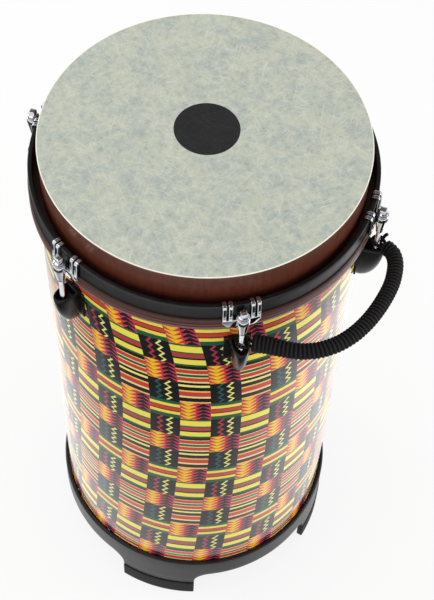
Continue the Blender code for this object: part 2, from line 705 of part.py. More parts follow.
def make_handle_eye(name, index, end):
    """A thin cord from the rope's end, hooked round the back of a bolt and to the rope again."""
    bolt = Vector(polar(BOLT_CIRCLE, lug_angle(index), HANDLE_LEVEL))
    out = Vector((end.x - bolt.x, end.y - bolt.y, 0))
    face = out.length - 2 * CLEARANCE
    out.normalize()
    side = Vector((-out.y, out.x, 0))
    steps = 14
    flat = [(face, LASHING_SPREAD), (face - LASHING_RADIUS / 2, LASHING_SPREAD)]
    centre = LASHING_SLACK - CLEARANCE
    for step in range(steps + 1):
        turn = math.radians(65 + 230 * step / steps)
        flat.append((centre + LASHING_TURN * math.cos(turn), LASHING_TURN * math.sin(turn)))
    flat += [(along, -across) for along, across in reversed(flat[:2])]
    points = [bolt + out * along + side * across for along, across in flat]
    tube(name, points, [1.0] * len(points), LASHING_RADIUS, 2)


def make_handle():
    last_end, first_end = make_handle_grip()
    make_handle_eye("handle_eye_front", LUG_COUNT - 1, last_end)
    make_handle_eye("handle_eye_rear", 0, first_end)


make_head_film()
make_head_hoop()
make_counter_hoop()
make_shell()
make_base_ring()
make_foot_pads()
make_claws()
make_tuning_bolts()
make_washers()
make_lugs()
make_lug_nuts()
make_lug_screws()
make_handle()
bpy.context.view_layer.update()
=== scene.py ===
# %% [markdown]
# # A tubular conga in a cloth-pattern wrap
# The drum is a straight tube under a glossy printed wrap. A flat head is pulled over its upper
# edge by a wooden hoop, a black steel hoop, six chrome claws and six square-headed bolts, and a
# wound rope handle is lashed to two of the bolts. The construction model already holds every
# piece at its real size and place. What it lacks is fine surfaces: its round pieces have flat
# sides, and its colours are plain. This notebook loads that model as a fixed frame and gives each
# piece that shows a finer mesh and a finish with the detail of the real one.

import json
import math

import bmesh
import bpy
import numpy as np
from mathutils import Matrix, Vector

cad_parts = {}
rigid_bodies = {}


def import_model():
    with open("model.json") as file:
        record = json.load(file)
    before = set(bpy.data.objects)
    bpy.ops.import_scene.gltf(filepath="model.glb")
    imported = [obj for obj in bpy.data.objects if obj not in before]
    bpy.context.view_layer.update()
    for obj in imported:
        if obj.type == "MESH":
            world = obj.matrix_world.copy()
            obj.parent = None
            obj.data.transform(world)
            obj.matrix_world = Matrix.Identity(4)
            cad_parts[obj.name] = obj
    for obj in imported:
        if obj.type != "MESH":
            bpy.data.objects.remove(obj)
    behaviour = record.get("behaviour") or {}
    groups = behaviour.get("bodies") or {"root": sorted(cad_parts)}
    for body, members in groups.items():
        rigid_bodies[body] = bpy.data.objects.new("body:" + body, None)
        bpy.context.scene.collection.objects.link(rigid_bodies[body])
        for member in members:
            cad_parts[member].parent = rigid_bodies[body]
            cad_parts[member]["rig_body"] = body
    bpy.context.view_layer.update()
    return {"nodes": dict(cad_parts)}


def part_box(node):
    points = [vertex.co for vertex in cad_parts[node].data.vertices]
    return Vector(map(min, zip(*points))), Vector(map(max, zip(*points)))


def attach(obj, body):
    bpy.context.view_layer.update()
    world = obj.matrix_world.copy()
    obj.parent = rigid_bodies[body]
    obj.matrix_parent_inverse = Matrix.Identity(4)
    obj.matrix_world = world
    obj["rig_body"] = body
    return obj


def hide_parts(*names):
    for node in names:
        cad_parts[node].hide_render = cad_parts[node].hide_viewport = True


for stray in list(bpy.data.objects):
    bpy.data.objects.remove(stray)
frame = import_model()

# %% [markdown]
# ## Sizes
# A finer piece has to lie where the plain one does, so its heights and radii are read from the
# boxes of the loaded nodes. A wall or a bore doesn't show in a box, so those few sizes are
# written here as the maker of the drum would give them.

# %% Heights and radii read from the boxes of the nodes


def low(node):
    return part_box(node)[0]


def high(node):
    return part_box(node)[1]


HEIGHT = high("head_film").z
FILM_FOOT = low("head_film").z
FILM_RADIUS = high("head_film").x
COLLAR_TOP = high("head_hoop").z
FLANGE_FOOT = low("head_hoop").z
FLANGE_RADIUS = high("head_hoop").x
BAND_TOP = high("counter_hoop").z
BAND_FOOT = low("counter_hoop").z
BAND_RADIUS = high("counter_hoop").x
SHELL_TOP = high("shell").z
SHELL_FOOT = low("shell").z
SHELL_RADIUS = high("shell").x
BASE_TOP = high("base_ring").z
BASE_RADIUS = high("base_ring").x
PAD_TOP = high("foot_pad_1").z
LUG_TOP = high("lug_1").z
LUG_FOOT = low("lug_1").z
WASHER_FOOT = low("washer_1").z
WASHER_TOP = high("washer_1").z
BOLT_TOP = high("tuning_bolt_1").z
BOLT_TIP = low("tuning_bolt_1").z
CLAW_TIP = low("claw_1").z
LUG_COUNT = 6
BOLTS = [(low(f"washer_{i}") + high(f"washer_{i}")) / 2 for i in range(1, LUG_COUNT + 1)]
BOLT_CIRCLE = math.hypot(BOLTS[0].x, BOLTS[0].y)
LUG_TURNS = [math.atan2(bolt.y, bolt.x) for bolt in BOLTS]
print(f"The bolts stand {BOLT_CIRCLE * 1000:.1f} mm from the axis")

# %% Walls, bores and gaps that the boxes don't show
CLEARANCE = 0.0003
COLLAR_RADIUS = FILM_RADIUS - 0.0005
COLLAR_BORE = COLLAR_RADIUS - 0.004
FLANGE_TOP = BAND_FOOT - CLEARANCE
BAND_BORE = BAND_RADIUS - 0.0044
NECK_RADIUS = COLLAR_BORE - CLEARANCE
NECK_BORE = NECK_RADIUS - 0.0072
NECK_FOOT = HEIGHT - 0.098
SHOULDER = FLANGE_FOOT - 0.0036
SHELL_BORE = SHELL_RADIUS - 0.008
LUG_SEAT = SHELL_RADIUS + CLEARANCE
CLAW_FACE = FLANGE_RADIUS + CLEARANCE

# %% [markdown]
# ## Helpers for shapes
# Every new piece is a grid of points worked out with numpy. An outline is a list of corners with
# rounded turns, and a grid comes from turning an outline about an axis, from carrying a section
# along a path, or from stacking outlines. Spinning a curve with Blender's own tools would do too,
# but a formula keeps the points' order, so that each point also knows its place on the finish.

# %% Outlines
MERGE = 2e-6  # metres, between points that are one


def rounded(corners, radii, steps=5, closed=True):
    """An outline with round corners, as (n, 2). With unit vectors a and b from a corner along its
    sides and the angle w between them, the arc's centre lies radius / sin(w / 2) along a + b, and
    the arc touches both sides radius / tan(w / 2) from the corner."""
    points = np.array([complex(*corner) for corner in corners])
    radii = np.maximum(np.broadcast_to(radii, points.shape), MERGE / 2)
    before = np.roll(points, 1) - points
    after = np.roll(points, -1) - points
    a = before / abs(before)
    b = after / abs(after)
    half = abs(np.angle(b / a)) / 2
    centre = points + (a + b) / abs(a + b) * radii / np.sin(half)
    start = points + a * radii / np.tan(half) - centre
    end = points + b * radii / np.tan(half) - centre
    swing = np.angle(end / start)[:, None] * np.linspace(0, 1, steps + 1)
    arcs = centre[:, None] + start[:, None] * np.exp(1j * swing)
    if closed:
        outline = np.append(arcs.ravel(), arcs[0, 0])
    else:
        outline = np.concatenate([points[:1], arcs[1:-1].ravel(), points[-1:]])
    return np.stack([outline.real, outline.imag], axis=-1)


def reach_along(path):
    """The distance from a path's start to each of its points."""
    return np.append(0.0, np.cumsum(np.linalg.norm(np.diff(path, axis=0), axis=1)))


def at_places(path, places):
    """The points at these distances along a path."""
    reach = reach_along(path)
    return np.stack([np.interp(places, reach, column) for column in path.T], axis=-1)


def filled_in(path, step):
    """The path with points added on its long straight stretches."""
    reach = reach_along(path)
    extra = np.arange(0, reach[-1], step)
    apart = abs(extra[:, None] - reach).min(axis=1)
    return at_places(path, np.sort(np.append(reach, extra[apart > step / 3])))


def smooth_route(points, steps=16):
    """A smooth curve through points. Between b and c, with a before and d after, it is
    (2b + (c - a)t + (2a - 5b + 4c - d)t² + (3b - a - 3c + d)t³) / 2 for t from 0 to 1."""
    ends = np.vstack([2 * points[0] - points[1], points, 2 * points[-1] - points[-2]])
    a, b, c, d = (ends[k : len(ends) - 3 + k, None] for k in range(4))
    t = np.linspace(0, 1, steps, endpoint=False)[:, None]
    spans = 2 * b + (c - a) * t + (2 * a - 5 * b + 4 * c - d) * t**2 + (3 * b - a - 3 * c + d) * t**3
    return np.vstack([spans.reshape(-1, points.shape[1]) / 2, points[-1:]])


def circle(radius, steps=24):
    """A closed circle, as (steps + 1, 2)."""
    turn = np.linspace(0, 2 * math.pi, steps + 1)
    return radius * np.stack([np.cos(turn), np.sin(turn)], axis=-1)


# %% Grids
UP = (0.0, 0.0, 1.0)


def turned(profile, steps=192, centre=(0.0, 0.0)):
    """A profile of (radius, height) points turned about an upright axis through the centre:
    x = centre + radius cos(turn), y = centre + radius sin(turn)."""
    turn = np.linspace(0, 2 * math.pi, steps + 1)
    radius, height = profile[:, :1], profile[:, 1:]
    x = centre[0] + radius * np.cos(turn)
    y = centre[1] + radius * np.sin(turn)
    return np.stack(np.broadcast_arrays(x, y, height), axis=-1)


def capped(grid):
    """The grid with a row added at each end that is drawn in to a point, which closes it."""
    first = np.broadcast_to(grid[0].mean(axis=0), grid[0].shape)
    last = np.broadcast_to(grid[-1].mean(axis=0), grid[-1].shape)
    return np.concatenate([first[None], grid, last[None]])


def swept(section, path, reference):
    """A closed section carried along a path. With t the path's direction, side = reference x t and
    up = t x side, each point is path + side * first + up * second."""
    along = np.gradient(path, axis=0)
    along /= np.linalg.norm(along, axis=1, keepdims=True)
    side = np.cross(reference, along)
    side /= np.linalg.norm(side, axis=1, keepdims=True)
    up = np.cross(along, side)
    section = np.broadcast_to(section, (len(path), *section.shape[-2:]))
    return capped(path[:, None] + side[:, None] * section[..., :1] + up[:, None] * section[..., 1:])


def soft_places(length, rows, rounding):
    """Distances along a bar, closer together over the rounding at its ends, and the share of the
    rounding by which the section is drawn in there: 1 - sqrt(1 - (1 - distance / rounding)²)."""
    near = rounding * (1 - np.cos(np.linspace(0, math.pi / 2, 5)))
    middle = np.linspace(rounding, length - rounding, rows)
    places = np.concatenate([near[:-1], middle, length - near[-2::-1]])
    from_end = np.clip(np.minimum(places, length - places) / rounding, 0, 1)
    return places, 1 - np.sqrt(1 - (1 - from_end) ** 2)


def bar(section, path, reference, rows, rounding):
    """A swept bar with rounded ends. Its section may differ from row to row."""
    places, drawn_in = soft_places(reach_along(path)[-1], rows, rounding)
    half = abs(section).max(axis=-2, keepdims=True)
    scale = 1 - rounding * drawn_in[:, None, None] / half
    return swept(section * scale, at_places(path, places), reference)


def spun(points, angle):
    """Points turned about the drum's axis."""
    c, s = math.cos(angle), math.sin(angle)
    return points @ np.array([[c, s, 0], [-s, c, 0], [0, 0, 1]])


def laid_flat(grid):
    """Each point's place on the flattened surface: the distances along a middle row and column."""
    across = reach_along(grid[len(grid) // 2])
    down = reach_along(grid[:, grid.shape[1] // 2])
    return np.stack(np.meshgrid(across, down), axis=-1)


# %% A piece from its grids
SURFACE = "surface"  # the UV map of every new piece


def new_mesh(name, grids, places, numbers):
    """One mesh from several grids. The faces join each point to its neighbours in the row and in
    the column, seams and poles are merged, and all faces are turned outwards."""
    points = np.concatenate([grid.reshape(-1, 3) for grid in grids])
    flat = np.concatenate([place.reshape(-1, 2) for place in places])
    faces = []
    finish = []
    start = 0
    for grid, number in zip(grids, numbers):
        rows, columns = grid.shape[:2]
        index = start + np.arange(rows * columns).reshape(rows, columns)
        corners = (index[:-1, :-1], index[:-1, 1:], index[1:, 1:], index[1:, :-1])
        faces.append(np.stack(corners, axis=-1).reshape(-1, 4))
        finish.append(np.full(len(faces[-1]), number))
        start += rows * columns
    faces = np.concatenate(faces)
    mesh = bpy.data.meshes.new(name)
    mesh.from_pydata(points.tolist(), [], faces.tolist())
    mesh.polygons.foreach_set("material_index", np.concatenate(finish).astype(np.int32))
    layer = mesh.uv_layers.new(name=SURFACE)
    layer.data.foreach_set("uv", flat[faces.ravel()].astype(np.float32).ravel())
    work = bmesh.new()
    work.from_mesh(mesh)
    bmesh.ops.remove_doubles(work, verts=work.verts, dist=MERGE)
    bmesh.ops.recalc_face_normals(work, faces=work.faces)
    work.to_mesh(mesh)
    work.free()
    return mesh


def add_piece(name, grids, finishes, nodes=(), body=None, places=None, numbers=None, sharp=40.0):
    """Makes a piece, lets it stand for its nodes and has it ride on their body."""
    places = places or [laid_flat(grid) for grid in grids]
    mesh = new_mesh(name, grids, places, numbers or [0] * len(grids))
    for finish in finishes:
        mesh.materials.append(finish.material)
    mesh.shade_smooth()
    mesh.set_sharp_from_angle(angle=math.radians(sharp))
    piece = bpy.data.objects.new(name, mesh)
    bpy.context.scene.collection.objects.link(piece)
    if nodes:
        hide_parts(*nodes)
        body = frame["nodes"][nodes[0]]["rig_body"]
    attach(piece, body)
    print(f"{name}: {len(mesh.polygons)} faces, rides on {body}")
    return piece


# %% [markdown]
# ## Helpers for finishes
# A finish is a network of shader nodes. Written node by node it is long and hard to read, so a
# small class wraps a socket and lets Python's own operators make the Math nodes: `1 - mask * 0.5`
# reads as what it does. A second class holds one finish around its Principled shader, and makes
# every other node with one method.

# %% Numbers on a surface, and finishes made of them


def srgb(red, green, blue):
    """A colour as seen on a screen, from 0 to 255, as the linear colour that a shader takes."""
    seen = np.array([red, green, blue]) / 255
    linear = np.where(seen <= 0.04045, seen / 12.92, ((seen + 0.055) / 1.055) ** 2.4)
    return (*linear.tolist(), 1.0)


class Value:
    """A number that varies over a surface. Arithmetic on it adds Math nodes."""

    def __init__(self, graph, socket):
        self.graph = graph
        self.socket = socket

    def math(self, operation, *others):
        sockets = dict(enumerate((self, *others)))
        return self.graph.node("ShaderNodeMath", {"operation": operation}, sockets)

    def __add__(self, other):
        return self.math("ADD", other)

    def __mul__(self, other):
        return self.math("MULTIPLY", other)

    __radd__ = __add__
    __rmul__ = __mul__

    def __sub__(self, other):
        return self.math("SUBTRACT", other)

    def __rsub__(self, other):
        return (self * -1).math("ADD", other)

    def __truediv__(self, other):
        return self.math("DIVIDE", other)

    def __lt__(self, other):
        return self.math("LESS_THAN", other)

    def __gt__(self, other):
        return self.math("GREATER_THAN", other)

    def __abs__(self):
        return self.math("ABSOLUTE")

    def fraction(self):
        return self.math("FRACT")

    def least(self, other):
        return self.math("MINIMUM", other)

    def most(self, other):
        return self.math("MAXIMUM", other)

    def between(self, start, end):
        """0 up to start, 1 from end, and a soft step between them."""
        sockets = {"Value": self, "From Min": start, "From Max": end}
        return self.graph.node("ShaderNodeMapRange", {"interpolation_type": "SMOOTHSTEP"}, sockets)


class Graph:
    """A tree of shader nodes."""

    def __init__(self, tree):
        self.nodes = tree.nodes
        self.links = tree.links

    def feed(self, socket, value):
        if isinstance(value, Value):
            self.links.new(value.socket, socket)
        else:
            socket.default_value = value

    def node(self, kind, settings=None, sockets=None, output=0):
        """A node of this type with its settings, then the values or links of its sockets."""
        made = self.nodes.new(kind)
        for name, value in (settings or {}).items():
            if name == "stops":
                self.fill_ramp(made.color_ramp, value)
            elif name == "steps":
                made.color_ramp.interpolation = value
            else:
                setattr(made, name, value)
        for socket, value in (sockets or {}).items():
            self.feed(made.inputs[socket], value)
        return Value(self, made.outputs[output])

    def fill_ramp(self, ramp, stops):
        ramp.elements.remove(ramp.elements[1])
        for index, (place, colour) in enumerate(stops):
            element = ramp.elements.new(place) if index else ramp.elements[0]
            element.position = place
            element.color = colour

    def ramp(self, value, stops, steps="LINEAR"):
        settings = {"steps": steps, "stops": stops}
        return self.node("ShaderNodeValToRGB", settings, {"Fac": value})

    def mix(self, share, first, second, blend="MIX"):
        """One colour over another, by a share from 0 to 1."""
        settings = {"data_type": "RGBA", "blend_type": blend, "clamp_factor": True}
        sockets = {0: share, 6: first, 7: second}
        return self.node("ShaderNodeMix", settings, sockets, output=2)

    def split(self, vector):
        first = self.node("ShaderNodeSeparateXYZ", {}, {0: vector})
        return [Value(self, socket) for socket in first.socket.node.outputs]

    def joined(self, *parts):
        return self.node("ShaderNodeCombineXYZ", {}, dict(enumerate(parts)))

    def stretched(self, vector, turn, sizes, shift=(0.0, 0.0, 0.0)):
        """The place turned about Z, then measured in these sizes along its own axes."""
        sockets = {"Vector": vector, "Location": shift, "Rotation": (0, 0, turn), "Scale": sizes}
        return self.node("ShaderNodeMapping", {"vector_type": "TEXTURE"}, sockets)

    def noise(self, vector, scale, detail=3.0, rough=0.55):
        sockets = {"Vector": vector, "Scale": scale, "Detail": detail, "Roughness": rough}
        return self.node("ShaderNodeTexNoise", {}, sockets)


class Finish(Graph):
    """A material around one Principled shader, whose fixed sockets are given by name."""

    def __init__(self, name, fixed):
        self.material = bpy.data.materials.new(name)
        self.material.use_nodes = True
        super().__init__(self.material.node_tree)
        self.shader = self.nodes["Principled BSDF"]
        self.place = self.node("ShaderNodeTexCoord", output="Object")
        self.set(fixed)

    def set(self, sockets):
        for name, value in sockets.items():
            self.feed(self.shader.inputs[name], value)

    def surface(self):
        return self.node("ShaderNodeUVMap", {"uv_map": SURFACE})

    def bump(self, height, distance, strength=1.0):
        sockets = {"Height": height, "Distance": distance, "Strength": strength}
        self.set({"Normal": self.node("ShaderNodeBump", {}, sockets, output="Normal")})


# %% [markdown]
# ## The camera
# The camera looks down on the drum from its front, with the handle on the right. Its lens is
# long, so the far rim of the head is only a little smaller than the near one. Its place is given
# by a distance, a height angle and a direction round the drum, and then the three small turns
# that put the drum where a photographer's hand had it in the frame.

# %% Camera
LENS = 86.4  # mm, on a 36 mm long side
LOOK_AT = Vector((0.0, 0.0, 0.4693))
CAMERA_DISTANCE = 1.5482
CAMERA_RISE = math.radians(56.33)
CAMERA_TURN = math.radians(-42.99)
YAW, PITCH, ROLL = -0.012, -0.013, -0.036  # radians


def add_camera():
    out = Vector((math.cos(CAMERA_TURN), math.sin(CAMERA_TURN), 0)) * math.cos(CAMERA_RISE)
    out.z = math.sin(CAMERA_RISE)
    forward = -out
    right = forward.cross(Vector(UP)).normalized()
    up = right.cross(forward)
    forward.rotate(Matrix.Rotation(YAW, 3, up))
    right.rotate(Matrix.Rotation(YAW, 3, up))
    forward.rotate(Matrix.Rotation(PITCH, 3, right))
    up.rotate(Matrix.Rotation(PITCH, 3, right))
    right.rotate(Matrix.Rotation(ROLL, 3, forward))
    up.rotate(Matrix.Rotation(ROLL, 3, forward))
    lens = bpy.data.cameras.new("camera")
    lens.lens = LENS
    lens.sensor_width = 36.0
    lens.sensor_fit = "AUTO"
    camera = bpy.data.objects.new("camera", lens)
    axes = Matrix((right, up, -forward)).transposed().to_4x4()
    camera.matrix_world = Matrix.Translation(LOOK_AT + out * CAMERA_DISTANCE) @ axes
    bpy.context.scene.collection.objects.link(camera)
    bpy.context.scene.camera = camera
    return camera


add_camera()
print("Camera at", tuple(round(v, 3) for v in bpy.context.scene.camera.location))

# %% [markdown]
# ## The rope handle
# The handle is a short stiff rope, wound from end to end with thin black cord. The cord's turns
# show as slightly slanting ribs, close together. At each end a loop of the thin cord is hooked
# round a tuning bolt, and behind the rear end a short tail of the lashing sticks up.
#
# A rope like this could be a curve with a bevel, but then the ribs would be rings. Here the
# section is carried along the route by a formula in which the rib's phase turns with the angle
# round the rope, so that the ribs climb round it as real winding does.

# %% Rope finish
ROPE_RADIUS = 0.0079
RIB_PITCH = 0.00376
RIB_DEPTH = 0.0009


def make_rope_finish():
    """The valleys between the ribs are painted darker as painted shade, by |sin(pi (along / pitch - share of a
    turn))|.
    """
    rope = Finish("wound_rope", {"IOR": 1.45, "Specular IOR Level": 0.25})
    around, along, _ = rope.split(rope.surface())
    strands = rope.noise(rope.joined(around * 900, along * 5200, 0.0), 1.0, detail=2)
    fluff = rope.noise(rope.place, 900, detail=3)
    wear = rope.noise(rope.place, 60, detail=2)
    rib = ((along / RIB_PITCH - around / (2 * math.pi * ROPE_RADIUS)) * math.pi).math("SINE")
    # Painted shade: away from the crown of each rib the colour goes nearly black, standing in for the shade in the
    # valleys
    crown = abs(rib).between(0.45, 0.98)
    colour = rope.mix(strands.between(0.3, 0.75), srgb(14, 14, 15), srgb(46, 46, 49))
    colour = rope.mix(fluff.between(0.55, 0.85) * 0.4, colour, srgb(58, 58, 61))
    colour = rope.mix(crown, srgb(1, 1, 1), colour)
    rope.set({"Base Color": colour, "Roughness": wear * 0.25 + 0.6})
    rope.bump(strands * 0.7 + fluff * 0.5, 0.0004)
    return rope


ROPE = make_rope_finish()

# %% The rope's route, seen from above
ROPE_LEVEL = LUG_TOP + 0.0095
ROPE_RISE = 0.0045
END_RISE = 0.0025  # of the front end, over its lug
END_SWELL = 0.0011  # of the whipping there
# The reach out from the straight line through the two bolts, and the place along that line,
# from -1 at the front bolt to 1 at the rear one
ROPE_ROUTE = np.array([
    (0.0079, -0.930),
    (0.0136, -0.881),
    (0.0193, -0.831),
    (0.0319, -0.736),
    (0.0443, -0.622),
    (0.0543, -0.468),
    (0.0606, -0.285),
    (0.0630, -0.091),
    (0.0620, 0.114),
    (0.0586, 0.308),
    (0.0532, 0.502),
    (0.0456, 0.700),
    (0.0368, 0.850),
    (0.0298, 0.938),
    (0.0220, 0.996),
    (0.0160, 1.006),
    (0.0100, 1.004),
])


def rope_path():
    front = BOLTS[LUG_COUNT - 1]
    reach, along = ROPE_ROUTE.T
    height = ROPE_LEVEL + ROPE_RISE * np.maximum(1 - along**2, 0) + END_RISE * np.clip(-along, 0, 1) ** 4
    return smooth_route(np.stack([front.x + reach, -front.y * along, height], axis=-1))


rope_line = rope_path()
ROPE_LENGTH = reach_along(rope_line)[-1]
print(f"The rope is {ROPE_LENGTH * 1000:.0f} mm long")

# %% Rope, its two eyes and its tail
LASH_RADIUS = 0.0017


def make_rope():
    """The section's radius falls from the crown of each rib to the valley beside it:
    radius = crown - depth (1 - |sin(phase / 2)|), phase = turns along the rope - angle round it."""
    rounding = 0.0018
    places, drawn_in = soft_places(ROPE_LENGTH, round(ROPE_LENGTH / RIB_PITCH) * 9, rounding)
    turn = np.linspace(0, 2 * math.pi, 33)
    phase = 2 * math.pi * places[:, None] / RIB_PITCH - turn
    swell = END_SWELL * np.exp(-((places / 0.026) ** 2)) - rounding * drawn_in
    radius = ROPE_RADIUS - RIB_DEPTH * (1 - abs(np.sin(phase / 2))) + swell[:, None]
    section = radius[..., None] * np.stack([np.cos(turn), np.sin(turn)], axis=-1)
    grid = swept(section, at_places(rope_line, places), UP)
    closed = np.concatenate([places[:1], places, places[-1:]])
    flat = np.stack(np.meshgrid(turn * ROPE_RADIUS, closed), axis=-1)
    return add_piece("rope_grip", [grid], [ROPE], ["handle_grip"], places=[flat], sharp=80)


def eye_path(bolt, end):
    """Out of the rope's end, round the back of the bolt and into the rope again."""
    slack, spread, inside = 0.0009, 0.0024, 0.003
    turn_radius = 0.0025 + 0.0012 + LASH_RADIUS
    out = np.array([end[0] - bolt.x, end[1] - bolt.y])
    face = np.linalg.norm(out)
    out /= face
    turn = np.radians(np.linspace(65, 295, 15))
    loop = np.stack([slack + turn_radius * np.cos(turn), turn_radius * np.sin(turn)], axis=-1)
    flat = np.vstack([(face + inside, spread), (face, spread), loop, (face, -spread), (face + inside, -spread)])
    x = bolt.x + flat[:, 0] * out[0] - flat[:, 1] * out[1]
    y = bolt.y + flat[:, 0] * out[1] + flat[:, 1] * out[0]
    return smooth_route(np.stack([x, y, np.full(len(x), ROPE_LEVEL)], axis=-1), 6)


def make_eye(name, node, bolt, end):
    path = eye_path(bolt, end)
    grid = bar(circle(LASH_RADIUS, 14), path, UP, 60, LASH_RADIUS / 2)
    return add_piece(name, [grid], [ROPE], [node])


def make_tail():
    """The lashing's tail, which stands up behind the rope's rear end."""
    foot = np.array([BOLTS[0].x, BOLTS[0].y, ROPE_LEVEL])
    steps = np.array([(0.004, 0.001, 0.001), (0.004, 0.003, 0.004), (0.0045, 0.005, 0.0075), (0.006, 0.0065, 0.0105)])
    grid = bar(circle(LASH_RADIUS, 16), smooth_route(foot + steps), UP, 20, LASH_RADIUS / 2)
    return add_piece("rope_tail", [grid], [ROPE], body="handle")


rope = make_rope()
rope_ends = [
    make_eye("rope_eye_front", "handle_eye_front", BOLTS[LUG_COUNT - 1], rope_line[0]),
    make_eye("rope_eye_rear", "handle_eye_rear", BOLTS[0], rope_line[-1]),
    make_tail(),
]

# %% [markdown]
# ## The drum head
# The head is a synthetic skin: a pale, greenish sheet with cloudy mottling and a felt of fine
# light fibres that run in all directions. Its edge is bright: a lighter cut edge, with a painted
# highlight along its rounding. A plain black disc marks the place of the label. The disc is printed
# on the skin, so it is part of the finish and not a piece of its own.
#
# The fibres could be thousands of thin meshes. Noise that is stretched a hundred times longer
# than wide looks the same from any distance: six layers of it, each turned to another direction
# and kept only where it peaks, give short straight scratches.

# %% Skin finish
LABEL_PLACE = (-0.0068, 0.0079)
LABEL_RADIUS = 0.0315
FIBRE_LENGTH = 0.034
FIBRE_WIDTH = 0.0009
FIBRE_TURNS = (8, 37, 68, 95, 127, 160)  # degrees


def make_skin_finish():
    skin = Finish("head_skin", {"IOR": 1.45})
    x, y, z = skin.split(skin.place)
    clouds = skin.noise(skin.place, 38, detail=5, rough=0.65)
    spots = skin.noise(skin.place, 150, detail=5, rough=0.7)
    grain = skin.noise(skin.place, 700, detail=3)
    colour = skin.mix(clouds.between(0.34, 0.66), srgb(164, 173, 167), srgb(184, 188, 171))
    colour = skin.mix(spots.between(0.44, 0.70) * 0.7, colour, srgb(199, 201, 185))
    colour = skin.mix((1 - spots.between(0.28, 0.47)) * 0.7, colour, srgb(142, 153, 148))
    fibres = None
    for index, degrees in enumerate(FIBRE_TURNS):
        sizes = (FIBRE_LENGTH, FIBRE_WIDTH, 1.0)
        place = skin.stretched(skin.place, math.radians(degrees), sizes, (index * 1.7, index * 0.9, 0))
        layer = skin.noise(place, 1.0, detail=1).between(0.64, 0.72)
        fibres = layer if fibres is None else fibres.most(layer)
    colour = skin.mix(fibres * 0.5, colour, srgb(214, 215, 199))
    colour = skin.mix(grain.between(0.35, 0.75) * 0.2, colour, srgb(140, 148, 138))
    radius = (x * x + y * y).math("SQRT")
    # Partly painted highlight: the cream ring just inside the edge is the lighter cut edge and also a highlight
    # painted along its rounding
    rim = radius.between(FILM_RADIUS - 0.0011, FILM_RADIUS - 0.0006)
    colour = skin.mix(rim, colour, srgb(243, 239, 224))
    under = z < FILM_FOOT + 0.0003
    colour = skin.mix(under, colour, srgb(120, 112, 96))
    dx = x - LABEL_PLACE[0]
    dy = y - LABEL_PLACE[1]
    from_label = (dx * dx + dy * dy).math("SQRT")
    label = 1 - from_label.between(LABEL_RADIUS - 0.0001, LABEL_RADIUS + 0.0001)
    label = label * (z > FILM_FOOT + 0.0003)
    ink = skin.mix(grain, srgb(26, 26, 28), srgb(38, 38, 40))
    skin.set({"Base Color": skin.mix(label, colour, ink)})
    skin.set({"Roughness": 0.52 + spots * 0.12 - label * 0.2})
    skin.bump(fibres * 0.5 + spots + grain * 0.3, 0.0002, 0.7)
    return skin


SKIN = make_skin_finish()

# %% Skin disc


def make_head():
    """A flat disc: rows from the middle out, over the rounded edge and back under."""
    soft = 0.0004
    inner = np.linspace(0, FILM_RADIUS - soft, 14)[:-1]
    edge = rounded([(FILM_RADIUS / 2, HEIGHT), (FILM_RADIUS, HEIGHT), (FILM_RADIUS, FILM_FOOT), (FILM_RADIUS / 2, FILM_FOOT)], soft, 4, closed=False)[1:-1]
    top = np.stack([inner, np.full(len(inner), HEIGHT)], axis=-1)
    under = np.stack([inner[::-1], np.full(len(inner), FILM_FOOT)], axis=-1)
    grid = turned(np.vstack([top, edge, under]), 256)
    return add_piece("skin_disc", [grid], [SKIN], ["head_film"])


make_head()

# %% [markdown]
# ## The wooden hoop
# Under the skin sits a hoop of bent plies: an upright collar, stained red-brown and lacquered, and
# a flange at its foot that the steel hoop pulls on. The stain is mottled and a little streaky, and
# the collar has one scarf joint. The flange's outer edge shows its plies as thin rings of light
# and dark wood, which a stain soaks into unevenly.
#
# The rings of ply are level, so they follow the height alone, and a colour ramp on the height
# draws them. The outline of the hoop is turned about the drum's axis.

# %% Stained wood finish
SEAM_TURN = math.radians(-2.7)
# Height above the flange's foot as a share of its height, and the colour from there up
PLIES = [
    (0.00, srgb(24, 14, 13)),
    (0.07, srgb(134, 98, 92)),
    (0.24, srgb(70, 34, 29)),
    (0.36, srgb(112, 66, 57)),
    (0.52, srgb(42, 18, 14)),
    (0.62, srgb(84, 44, 34)),
    (0.86, srgb(48, 21, 16)),
]


